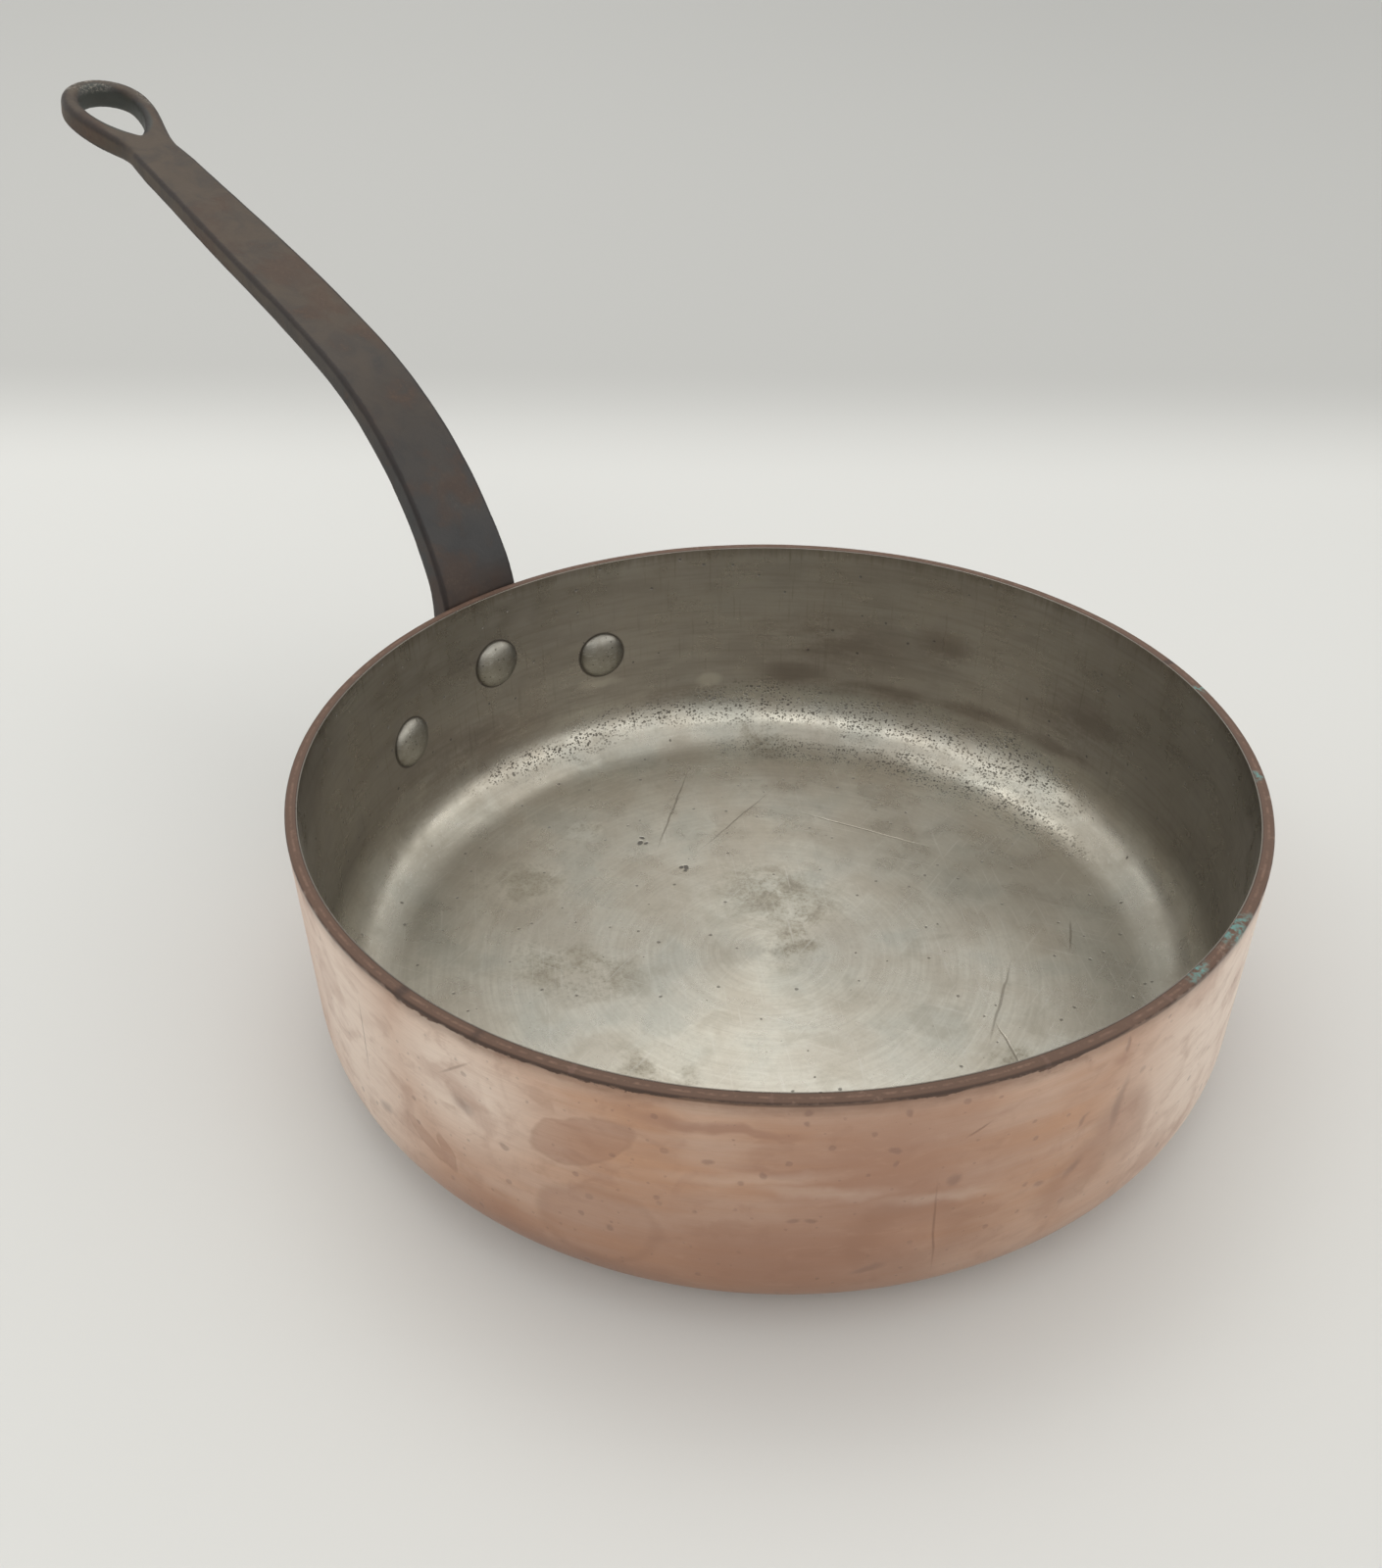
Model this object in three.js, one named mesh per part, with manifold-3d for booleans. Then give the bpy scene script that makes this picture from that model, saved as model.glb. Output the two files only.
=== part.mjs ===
// Copper saute pan: a straight-sided copper body with a bonded steel lining, and one iron handle
// held by three rivets. Millimetres, +Z up.
// The origin is the centre of the flat base, on the surface that the pan stands on.
// The handle points along +X, and the pan is a mirror image of itself across the plane Y = 0.
import * as THREE from "three";
import { mergeVertices } from "three/addons/utils/BufferGeometryUtils.js";
import Module from "manifold-3d";

const wasm = await Module();
wasm.setup();

const degrees = THREE.MathUtils.degToRad;

// Pan body
const RIM_DIAMETER = 240;
const PAN_HEIGHT = 70;
const COPPER_THICKNESS = 2.7;
const LINING_THICKNESS = 0.3;
const CORNER_RADIUS = 20; // outside, where the wall turns into the base
const WALL_DRAFT = 0.5; // how much narrower the wall is where it meets the corner
const RIM_EDGE = 0.5; // the worn outer edge of the rim

// Fits between pieces
const SEAT_GAP = 0.3;
const BOND_LINE = 0.02; // between the copper and the lining bonded to it

// Rivets, placed by their angle round the wall and their depth below the rim
const RIVET_SHANK_RADIUS = 3.8;
const INNER_HEAD_RADIUS = 7.4;
const INNER_HEAD_HEIGHT = 2.6;
const OUTER_HEAD_RADIUS = 6.4;
const OUTER_HEAD_HEIGHT = 3;
const SIDE_RIVET_ANGLE = 18.5;
const SIDE_RIVET_DROP = 32;
const CENTRE_RIVET_DROP = 22.8;

// Riveting flange of the handle
const FLANGE_THICKNESS = 5;
const FLANGE_LOBE_RADIUS = 12.5;
const FLANGE_BELOW_CENTRE = 15; // from the centre rivet down to the flange's lower edge
const FLANGE_ARM_EASE = 6.5; // how gently the bar's sides flare into the arms
const FLANGE_TOP_DROP = 9; // from the rim down to the flange's upper end, behind the bar

// Bar of the handle: its front face starts upright beside the wall, then leans out along arcs
const BAR_STANDOFF = 0.5; // from the wall to the upright front face
const BEND_START_DROP = 5; // from the rim down to the first bend
const ROOT_LENGTH = 24; // upright stretch below the first bend, at full thickness
const ROOT_RAMP = 8; // slope that runs the root's back out into the flange
const ROOT_BEND_RADIUS = 36;
const ROOT_BEND_TURN = degrees(23);
const MAIN_BEND_RADIUS = 104.5;
const MAIN_BEND_TURN = degrees(42.4);
const SWAY_RADIUS = 600; // the faint bend that runs on into the straight part
const SWAY_TURN = degrees(4.1);
const STRAIGHT_TO_LOOP = 100; // from the last bend to the middle of the hanging loop
const ROOT_THICKNESS = 7.8;
const NECK_THICKNESS = 6.4;
const EDGE_RADIUS = 1.6;

// Width of the bar at the start of the first bend, at distances past it, at distances back from
// the neck, and at the neck, where the sides of the loop begin
const ROOT_WIDTH = 26.6;
const BEND_WIDTH = 24.2;
const BEND_PAST_ROOT = 35;
const MIDDLE_WIDTH = 22.2;
const MIDDLE_PAST_ROOT = 70;
const GRIP_WIDTH = 20.1;
const GRIP_TO_NECK = 49;
const TAPER_WIDTH = 17.9;
const TAPER_TO_NECK = 14;
const NECK_WIDTH = 17.4;
const NECK_TO_LOOP = 30.7; // from the neck to the middle of the loop

// Hanging loop: round at its far end, with sides that sweep back into the neck
const LOOP_HALF_WIDTH = 14.4;
const LOOP_END_REACH = 15.5; // from the middle of the loop to its far end
const LOOP_THICKNESS = 8;
const LOOP_EDGE = 2.2;
const NECK_EASE = 11; // how far the neck runs on before its sides sweep out
const SHOULDER_EASE = 12.5; // how far back from the middle the loop stays near its full width
const HOLE_RADIUS = 8.7;
const HOLE_SHOULDER_EASE = 9;
const HOLE_TIP_REACH = 21.4; // from the middle of the loop to the pointed end of its hole
const HOLE_TIP_EASE = 5; // how full the hole's sides are beside the point

// Fineness of the faceted surfaces
const ROUND_SEGMENTS = 96;
const CORNER_SEGMENTS = 6;
const RIVET_SEGMENTS = 28;
const DOME_SEGMENTS = 5;
const EDGE_SEGMENTS = 3;
const BAR_STEPS = 34;
const CURVE_SEGMENTS = 14; // along each curve of the outlines of the loop and the flange
const MERGE_DISTANCE = 1e-4;

// Sizes that follow from the ones above
const rimRadius = RIM_DIAMETER / 2;
const wallThickness = COPPER_THICKNESS + LINING_THICKNESS;
const bends = [
  { radius: ROOT_BEND_RADIUS, turn: ROOT_BEND_TURN },
  { radius: MAIN_BEND_RADIUS, turn: MAIN_BEND_TURN },
  { radius: SWAY_RADIUS, turn: SWAY_TURN },
];
const bendLength = bends.reduce((sum, bend) => sum + bend.radius * bend.turn, 0);
const loopAlong = bendLength + STRAIGHT_TO_LOOP;
const neckAlong = loopAlong - NECK_TO_LOOP;
const bendStartHeight = PAN_HEIGHT - BEND_START_DROP;
const barFaceRadius = rimRadius + BAR_STANDOFF;

// Outside radius of the wall at a height above the corner.
function wallRadius(height) {
  const share = (PAN_HEIGHT - height) / (PAN_HEIGHT - CORNER_RADIUS);
  return rimRadius - WALL_DRAFT * share;
}

function toSolid(geometry) {
  const bare = geometry.clone();
  bare.deleteAttribute("normal");
  bare.deleteAttribute("uv");
  const merged = mergeVertices(bare, MERGE_DISTANCE);
  const vertProperties = merged.getAttribute("position").array;
  const triVerts = new Uint32Array(merged.index.array);
  return new wasm.Manifold(new wasm.Mesh({ numProp: 3, vertProperties, triVerts }));
}

function toGeometry(solid) {
  const { vertProperties, triVerts } = solid.getMesh();
  const geometry = new THREE.BufferGeometry();
  geometry.setAttribute("position", new THREE.BufferAttribute(vertProperties, 3));
  geometry.setIndex(new THREE.BufferAttribute(triVerts, 1));
  geometry.computeVertexNormals();
  return geometry;
}

function toMesh(name, solid, material) {
  const mesh = new THREE.Mesh(toGeometry(solid), material);
  mesh.name = name;
  return mesh;
}

// A profile of radius and height, turned round the pan's upright axis.
function turned(profile) {
  const points = profile.map(([radius, height]) => new THREE.Vector2(radius, height));
  return toSolid(new THREE.LatheGeometry(points, ROUND_SEGMENTS).rotateX(Math.PI / 2));
}

// The body's surface at a depth inside the outer skin, from the axis out to the rim.
function bodyProfile(depth) {
  const bendRadius = CORNER_RADIUS - depth;
  const bendCentre = rimRadius - WALL_DRAFT - CORNER_RADIUS;
  const profile = [[0, depth]];
  for (let step = 0; step <= CORNER_SEGMENTS; step++) {
    const angle = (Math.PI / 2) * (step / CORNER_SEGMENTS);
    const radius = bendCentre + bendRadius * Math.sin(angle);
    profile.push([radius, CORNER_RADIUS - bendRadius * Math.cos(angle)]);
  }
  profile.push([rimRadius - depth, PAN_HEIGHT]);
  return profile;
}

function copperShell() {
  const outside = bodyProfile(0).slice(0, -1);
  const rim = [
    [rimRadius, PAN_HEIGHT - RIM_EDGE],
    [rimRadius - RIM_EDGE, PAN_HEIGHT],
  ];
  const inside = bodyProfile(COPPER_THICKNESS).reverse();
  return turned([...outside, ...rim, ...inside]);
}

function innerLining() {
  const bonded = bodyProfile(COPPER_THICKNESS + BOND_LINE);
  const bare = bodyProfile(wallThickness).reverse();
  return turned([...bonded, ...bare]);
}

// Moves a geometry made along +Y, from the pan's axis, to a rivet's place in the wall.
function placeOnWall(geometry, rivet) {
  return geometry
    .rotateZ(-Math.PI / 2)
    .rotateZ(rivet.angle)
    .translate(0, 0, rivet.height);
}

const rivets = [
  {
    name: "rivet_left",
    angle: degrees(SIDE_RIVET_ANGLE),
    height: PAN_HEIGHT - SIDE_RIVET_DROP,
    backThickness: SEAT_GAP + FLANGE_THICKNESS,
  },
  {
    name: "rivet_centre",
    angle: 0,
    height: PAN_HEIGHT - CENTRE_RIVET_DROP,
    backThickness: barFaceRadius - wallRadius(PAN_HEIGHT - CENTRE_RIVET_DROP) + ROOT_THICKNESS,
  },
  {
    name: "rivet_right",
    angle: degrees(-SIDE_RIVET_ANGLE),
    height: PAN_HEIGHT - SIDE_RIVET_DROP,
    backThickness: SEAT_GAP + FLANGE_THICKNESS,
  },
];

// Points of a low dome from its rim to its top, along the rivet's axis.
function dome(radius, height, base, direction) {
  const sphere = (radius * radius + height * height) / (2 * height);
  const halfAngle = Math.asin(radius / sphere);
  const points = [];
  for (let step = DOME_SEGMENTS; step >= 0; step--) {
    const angle = halfAngle * (step / DOME_SEGMENTS);
    const rise = sphere * Math.cos(angle) - (sphere - height);
    points.push(new THREE.Vector2(sphere * Math.sin(angle), base + direction * rise));
  }
  return points;
}

// One rivet: low domed head inside the pan, shank through the wall and handle, set head outside.
function rivetBody(rivet) {
  const liningRadius = wallRadius(rivet.height) - wallThickness;
  const innerSeat = Math.sqrt(liningRadius ** 2 - INNER_HEAD_RADIUS ** 2) - SEAT_GAP;
  const outerSeat = wallRadius(rivet.height) + rivet.backThickness + SEAT_GAP;
  const profile = [
    ...dome(INNER_HEAD_RADIUS, INNER_HEAD_HEIGHT, innerSeat, -1).reverse(),
    new THREE.Vector2(RIVET_SHANK_RADIUS, innerSeat),
    new THREE.Vector2(RIVET_SHANK_RADIUS, outerSeat),
    ...dome(OUTER_HEAD_RADIUS, OUTER_HEAD_HEIGHT, outerSeat, 1),
  ];
  return toSolid(placeOnWall(new THREE.LatheGeometry(profile, RIVET_SEGMENTS), rivet));
}

// Clearance hole for a rivet's shank, through everything on that side of the pan.
function rivetHole(rivet) {
  const radius = RIVET_SHANK_RADIUS + SEAT_GAP;
  const length = rimRadius;
  const hole = new THREE.CylinderGeometry(radius, radius, length, RIVET_SEGMENTS);
  return toSolid(placeOnWall(hole.translate(0, rimRadius, 0), rivet));
}

function drilled(solid) {
  return rivets.reduce((left, rivet) => left.subtract(rivetHole(rivet)), solid);
}

// Front face of the bar at a distance past the first bend: its place in the XZ plane, and how
// far it points above level.
function barLine(along) {
  let angle = Math.PI / 2;
  let x = barFaceRadius;
  let z = bendStartHeight;
  let left = along;
  for (const { radius, turn } of along > 0 ? bends : []) {
    const bent = Math.min(turn, left / radius);
    x += radius * (Math.sin(angle) - Math.sin(angle - bent));
    z += radius * (Math.cos(angle - bent) - Math.cos(angle));
    angle -= bent;
    left = Math.max(0, left - radius * turn);
  }
  return { x: x + left * Math.cos(angle), z: z + left * Math.sin(angle), angle };
}

// Frame of the bar at a distance past the first bend: X along it, Y across, Z out of its face.
function barFrame(along) {
  const { x, z, angle } = barLine(along);
  const forward = new THREE.Vector3(Math.cos(angle), 0, Math.sin(angle));
  const across = new THREE.Vector3(0, 1, 0);
  const outOfFace = new THREE.Vector3().crossVectors(forward, across);
  return new THREE.Matrix4().makeBasis(forward, across, outOfFace).setPosition(x, 0, z);
}

// Section of the bar across its length: a rectangle with rounded edges, its face at height 0.
function barSection({ along, width, thickness }) {
  const corners = [
    [1, 0],
    [-1, 0],
    [-1, -1],
    [1, -1],
  ];
  const ring = [];
  corners.forEach(([side, depth], corner) => {
    for (let step = 0; step <= EDGE_SEGMENTS; step++) {
      const angle = (Math.PI / 2) * (corner + step / EDGE_SEGMENTS);
      const centreY = side * (width / 2 - EDGE_RADIUS);
      const centreZ = depth === 0 ? -EDGE_RADIUS : EDGE_RADIUS - thickness;
      const y = centreY + EDGE_RADIUS * Math.cos(angle);
      const z = centreZ + EDGE_RADIUS * Math.sin(angle);
      ring.push(new THREE.Vector3(0, y, z));
    }
  });
  const frame = barFrame(along);
  return ring.map((point) => point.applyMatrix4(frame));
}

// A closed skin over a row of rings with the same number of points, with both ends capped.
function lofted(rings) {
  const count = rings[0].length;
  const last = (rings.length - 1) * count;
  const triangles = [];
  for (let start = 0; start < last; start += count) {
    for (let side = 0; side < count; side++) {
      const near = start + side;
      const nearNext = start + ((side + 1) % count);
      triangles.push(near, nearNext, nearNext + count);
      triangles.push(near, nearNext + count, near + count);
    }
  }
  for (let side = 1; side + 1 < count; side++) {
    triangles.push(0, side + 1, side);
    triangles.push(last, last + side, last + side + 1);
  }
  const geometry = new THREE.BufferGeometry().setFromPoints(rings.flat());
  geometry.setIndex(triangles);
  return toSolid(geometry);
}

function bar() {
  const widths = new THREE.SplineCurve([
    new THREE.Vector2(0, ROOT_WIDTH),
    new THREE.Vector2(BEND_PAST_ROOT, BEND_WIDTH),
    new THREE.Vector2(MIDDLE_PAST_ROOT, MIDDLE_WIDTH),
    new THREE.Vector2(neckAlong - GRIP_TO_NECK, GRIP_WIDTH),
    new THREE.Vector2(neckAlong - TAPER_TO_NECK, TAPER_WIDTH),
    new THREE.Vector2(neckAlong, NECK_WIDTH),
  ]);
  const bent = widths.getPoints(BAR_STEPS).map(({ x, y }) => ({
    along: x,
    width: y,
    thickness: THREE.MathUtils.mapLinear(x, 0, neckAlong, ROOT_THICKNESS, NECK_THICKNESS),
  }));
  const root = [
    { along: -ROOT_LENGTH - ROOT_RAMP, width: ROOT_WIDTH, thickness: FLANGE_THICKNESS - BAR_STANDOFF },
    { along: -ROOT_LENGTH, width: ROOT_WIDTH, thickness: ROOT_THICKNESS },
  ];
  return lofted([...root, ...bent].map(barSection));
}

// Flat outline of the loop, in the bar's frame at the loop's middle: X away from the pan.
function loopOutline() {
  const neck = -NECK_TO_LOOP;
  const start = neck - LOOP_EDGE;
  const sweep = neck + NECK_EASE;
  const side = NECK_WIDTH / 2;
  const wide = LOOP_HALF_WIDTH;
  const outline = new THREE.Shape();
  outline.moveTo(start, -side);
  outline.lineTo(neck, -side);
  outline.bezierCurveTo(sweep, -side, -SHOULDER_EASE, -wide, 0, -wide);
  outline.absellipse(0, 0, LOOP_END_REACH, wide, -Math.PI / 2, Math.PI / 2, false, 0);
  outline.bezierCurveTo(-SHOULDER_EASE, wide, sweep, side, neck, side);
  outline.lineTo(start, side);
  outline.closePath();
  outline.holes.push(loopHole());
  return outline;
}

// Teardrop hole of the loop, with its point towards the pan.
function loopHole() {
  const tip = -HOLE_TIP_REACH;
  const beside = tip + HOLE_TIP_EASE;
  const shoulder = -HOLE_SHOULDER_EASE;
  const hole = new THREE.Path();
  hole.moveTo(tip, 0);
  hole.bezierCurveTo(beside, HOLE_TIP_EASE, shoulder, HOLE_RADIUS, 0, HOLE_RADIUS);
  hole.absarc(0, 0, HOLE_RADIUS, Math.PI / 2, -Math.PI / 2, true);
  hole.bezierCurveTo(shoulder, -HOLE_RADIUS, beside, -HOLE_TIP_EASE, tip, 0);
  return hole;
}

// The loop swells from the neck's thickness to its own, below a face that runs on from the bar's.
function hangingLoop() {
  const geometry = new THREE.ExtrudeGeometry(loopOutline(), {
    depth: LOOP_THICKNESS - 2 * LOOP_EDGE,
    curveSegments: CURVE_SEGMENTS,
    bevelThickness: LOOP_EDGE,
    bevelSize: LOOP_EDGE,
    bevelOffset: -LOOP_EDGE,
    bevelSegments: EDGE_SEGMENTS,
  }).translate(0, 0, LOOP_EDGE - LOOP_THICKNESS);
  const position = geometry.getAttribute("position");
  for (let i = 0; i < position.count; i++) {
    const share = THREE.MathUtils.smoothstep(position.getX(i), -NECK_TO_LOOP, -SHOULDER_EASE);
    const thickness = THREE.MathUtils.lerp(NECK_THICKNESS, LOOP_THICKNESS, share);
    position.setZ(i, position.getZ(i) * (thickness / LOOP_THICKNESS));
  }
  return toSolid(geometry.applyMatrix4(barFrame(loopAlong)));
}

// One side of the flange as it is seen along the handle, from its upper end to its lower edge.
function flangeHalf() {
  const lobeRadius = FLANGE_LOBE_RADIUS;
  const middleRadius = rimRadius + SEAT_GAP + FLANGE_THICKNESS / 2;
  const lobeY = middleRadius * Math.sin(degrees(SIDE_RIVET_ANGLE));
  const lobeZ = PAN_HEIGHT - SIDE_RIVET_DROP;
  const armTop = lobeZ + lobeRadius;
  const bottom = PAN_HEIGHT - CENTRE_RIVET_DROP - FLANGE_BELOW_CENTRE;
  const side = ROOT_WIDTH / 2;
  const ease = FLANGE_ARM_EASE;
  const half = new THREE.Path();
  half.moveTo(0, PAN_HEIGHT - FLANGE_TOP_DROP);
  half.lineTo(side, PAN_HEIGHT - FLANGE_TOP_DROP);
  half.bezierCurveTo(side, armTop + ease, side + ease, armTop, lobeY, armTop);
  half.absarc(lobeY, lobeZ, lobeRadius, Math.PI / 2, -Math.PI / 2, true);
  half.bezierCurveTo(lobeY - lobeRadius, lobeZ - lobeRadius, side, bottom, 0, bottom);
  return half.getPoints(CURVE_SEGMENTS);
}

// The flange hugs the wall: a turned ring of its thickness, cut to the flange's outline.
function flange() {
  const low = CORNER_RADIUS;
  const high = PAN_HEIGHT;
  const near = SEAT_GAP;
  const far = SEAT_GAP + FLANGE_THICKNESS;
  const ring = turned([
    [wallRadius(low) + near, low],
    [wallRadius(low) + far, low],
    [wallRadius(high) + far, high],
    [wallRadius(high) + near, high],
    [wallRadius(low) + near, low],
  ]);
  const half = flangeHalf();
  const mirrored = half
    .slice(1, -1)
    .reverse()
    .map(({ x, y }) => new THREE.Vector2(-x, y));
  const outline = new THREE.Shape([...half, ...mirrored]);
  const depth = 2 * rimRadius;
  const seenAlongHandle = new THREE.Matrix4().makeBasis(
    new THREE.Vector3(0, 1, 0),
    new THREE.Vector3(0, 0, 1),
    new THREE.Vector3(1, 0, 0),
  );
  const cutter = new THREE.ExtrudeGeometry(outline, { depth, bevelEnabled: false });
  return ring.intersect(toSolid(cutter.applyMatrix4(seenAlongHandle)));
}

function handle() {
  return drilled(flange().add(bar()).add(hangingLoop()));
}

const copper = new THREE.MeshStandardMaterial({ color: 0xc58a6e, metalness: 1, roughness: 0.32 });
const steel = new THREE.MeshStandardMaterial({ color: 0x8e8b81, metalness: 1, roughness: 0.42 });
const rivetSteel = new THREE.MeshStandardMaterial({ color: 0x8b8c86, metalness: 1, roughness: 0.38 });
const iron = new THREE.MeshStandardMaterial({ color: 0x4b4541, metalness: 0.6, roughness: 0.5 });

const pan = new THREE.Group();
pan.add(toMesh("copper_shell", drilled(copperShell()), copper));
pan.add(toMesh("inner_lining", drilled(innerLining()), steel));
pan.add(toMesh("handle", handle(), iron));
for (const rivet of rivets) pan.add(toMesh(rivet.name, rivetBody(rivet), rivetSteel));

export default pan;
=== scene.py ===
# Copper saute pan: the finished surfaces of its copper body, steel lining, iron handle and
# rivets, and the plain stage that it stands on. Metres, +Z up, handle along +X.
import math

import bmesh
import bpy
import numpy as np
from bpy.props import FloatProperty, FloatVectorProperty, IntProperty, PointerProperty
from mathutils import Euler, Matrix, Vector, noise


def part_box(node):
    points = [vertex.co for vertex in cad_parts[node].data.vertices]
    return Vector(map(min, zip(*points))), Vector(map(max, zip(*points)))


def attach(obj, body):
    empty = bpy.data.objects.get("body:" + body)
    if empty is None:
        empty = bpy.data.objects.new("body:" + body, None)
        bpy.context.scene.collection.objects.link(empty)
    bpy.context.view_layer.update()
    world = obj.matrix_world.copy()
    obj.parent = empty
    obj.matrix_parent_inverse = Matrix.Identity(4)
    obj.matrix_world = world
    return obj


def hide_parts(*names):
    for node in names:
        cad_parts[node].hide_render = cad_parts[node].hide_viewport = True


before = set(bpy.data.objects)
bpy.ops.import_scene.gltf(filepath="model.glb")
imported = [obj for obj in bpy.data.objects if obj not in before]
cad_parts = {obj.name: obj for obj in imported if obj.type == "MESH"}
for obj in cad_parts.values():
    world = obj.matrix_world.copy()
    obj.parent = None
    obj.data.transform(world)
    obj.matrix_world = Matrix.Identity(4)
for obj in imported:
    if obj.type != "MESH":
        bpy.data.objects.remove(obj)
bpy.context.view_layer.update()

bl_info = {
    "name": "Copper Saute Pan",
    "version": (1, 0, 0),
    "blender": (4, 5, 0),
    "location": "View3D > Sidebar > Pan",
    "description": "Builds a copper saute pan with a steel lining and a riveted iron handle",
    "category": "Object",
}

MM = 0.001
SHELL_LOW, SHELL_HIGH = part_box("copper_shell")
HANDLE_LOW, HANDLE_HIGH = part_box("handle")

# The body, in millimetres. The frame's sizes are taken to the nearest thousandth
WALL_RADIUS = round((SHELL_HIGH.x - SHELL_LOW.x) / 2 / MM, 3)
PAN_HEIGHT = round((SHELL_HIGH.z - SHELL_LOW.z) / MM, 3)
CORNER_RADIUS, WALL_DRAFT = 20.0, 0.5
FLOOR_LEVEL = 3.0
COPPER_INNER_EDGE, LINING_EDGES = 0.1, (0.02, 0.12)
DENTS_START = 56.0

# The rivets, in millimetres and degrees
SIDE_RIVET_ANGLE, SIDE_RIVET_HEIGHT, CENTRE_RIVET_HEIGHT = 18.5, 38.0, 47.2
SIDE_SEAT, CENTRE_SEAT, HEAD_SINK = 125.28, 128.6, 0.1

# The handle, in millimetres, as in the part's source
BAR_FACE = 120.5
BEND_START = 65.0
BENDS = ((36.0, 23.0), (104.5, 42.4), (600.0, 4.1))
BEND_LENGTH = sum(radius * math.radians(degrees) for radius, degrees in BENDS)
LOOP_ALONG = BEND_LENGTH + 100.0
NECK_TO_LOOP = 30.7
NECK_ALONG = LOOP_ALONG - NECK_TO_LOOP
WIDTHS = (
    (0.0, 26.6), (35.0, 24.2), (70.0, 22.2),
    (NECK_ALONG - 49.0, 20.1), (NECK_ALONG - 14.0, 17.9), (NECK_ALONG, 17.4),
)
ROOT_LENGTH, ROOT_RAMP = 24.0, 8.0
BAR_STANDOFF, SEAT_GAP = 0.5, 0.3
ROOT_THICKNESS, NECK_THICKNESS, EDGE_RADIUS = 7.8, 6.4, 1.1
LOOP_HALF_WIDTH, LOOP_END_REACH, LOOP_THICKNESS, LOOP_EDGE = 14.4, 15.5, 8.0, 2.2
NECK_EASE, SHOULDER_EASE = 11.0, 12.5
NECK_BLEND_REACH, NECK_BLEND_PASSES = 9.0, 24
HOLE_RADIUS, HOLE_SHOULDER_EASE, HOLE_TIP_REACH, HOLE_TIP_EASE = 8.7, 9.0, 21.4, 5.0
FLANGE_THICKNESS, FLANGE_LOBE, FLANGE_ARM_EASE, FLANGE_EDGE = 5.0, 12.5, 6.5, 1.3
FLANGE_TOP, FLANGE_BOTTOM = 61.0, 32.2
FLANGE_MIDDLE = WALL_RADIUS + SEAT_GAP + FLANGE_THICKNESS / 2
# How far the handles of a quarter circle of radius 1 reach
CIRCLE_EASE = 0.5523

# Fineness of the surfaces
FILLET_STEPS = 20
LONGEST_STRAIGHT = 4 * MM
TURNING_RADIUS = 0.1
MERGE_DISTANCE = 0.001 * MM
DOME_STEPS = 18
DOME_FULLNESS = 0.95
DOME_FLATNESS = 1.15
SKIRT = 0.8 * MM
BAR_STEPS = 80
EDGE_STEPS = 5
CURVE_STEPS = 24
EDGE_EASINGS = 14
LOOSE_SMOOTHINGS, WHOLE_SMOOTHINGS, SMOOTHING = 2, 3, 0.5
WAVES_PER_METRE, DENTS_PER_METRE = 18.0, 31.0
# The forged faces: two sizes of wave in millimetres, and the shares of their depth
SLOW_WAVE, QUICK_WAVE, QUICK_SHIFT = 24.0, 7.0, 5.0
EVEN_SHARE, SLOW_SHARE, QUICK_SHARE = 0.62, 0.5, 0.28
FLOOR_SEGMENTS = 96

# Half depth of a mark's mask, into the wall and into the floor
WALL_MARK_DEPTH, FLOOR_MARK_DEPTH = 12.0, 10.0
# Heights between which a finish comes in, in millimetres
RUBBED_FADE, RIM_LINE_FADE, UNDER_RIM_FADE = (69.0, 69.6), (68.6, 69.2), (69.0, 73.0)
BASE_SHADE_FADE, LINING_WALL_FADE, BROWNING_FADE = (16.0, 1.0), (10.0, 24.0), (110.0, 195.0)
# How far inside the wall the pitted corner is laid out flat
CORNER_INSET = 6.0

# Marks on the wall: bearing round the pan and height, half width and half height, tilt,
# softness of the edge
COPPER_STAINS = (
    (115.3, 51.3, 12.5, 5.8, 30, 0.12),
    (116.5, 27.5, 13, 11, 10, 0.18),
    (95.6, 28.9, 7.2, 2.3, -35, 0.16),
    (98.5, 28.8, 1.8, 5, 12, 0.20),
    (171.5, 40.5, 6.5, 8, 20, 0.75),
    (166, 32, 9, 5, 35, 0.8),
    (147.5, 29, 11, 9, 0, 0.7),
    (205, 32, 12, 9, 20, 0.3),
    (248, 44, 9, 7, -30, 0.2),
    (300, 28, 15, 8, 15, 0.4),
    (50, 40, 11, 8, 25, 0.2),
)
# Painted shade: zones where the copper is laid darker, facing the camera and low down, standing in for
# its dark reflections
PAINTED_SHADE_ZONES = (
    (144, 46, 25, 28, 0, 0.95),
    (137, 26, 40, 15, 0, 0.8),
    (137, 50, 14, 2.4, -4, 0.5),
    (130, 62, 18, 1.6, 2, 0.6),
    (112, 14, 40, 8, 0, 0.9),
    (40, 24, 40, 12, 0, 0.8),
    (225, 22, 40, 12, 0, 0.9),
)
# Painted sheen: zones where pale copper is laid on the flanks as a bright reflection
PAINTED_SHEEN_ZONES = (
    (82, 42, 26, 40, 0, 0.85),
    (101, 54, 20, 18, 0, 0.95),
    (190, 42, 40, 42, 0, 0.80),
    (272, 40, 30, 24, 0, 0.9),
)
COPPER_SCRATCHES = (
    (86, 46, 0.25, 10, -4, 0.5),
    (149.8, 30, 0.25, 11, 3, 0.6),
    (101.5, 58, 0.30, 5, -50, 0.6),
    (153.1, 57, 2.6, 0.3, 30, 0.6),
    (226, 38, 0.25, 12, 12, 0.6),
    (318, 45, 0.25, 9, -20, 0.6),
)
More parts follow.
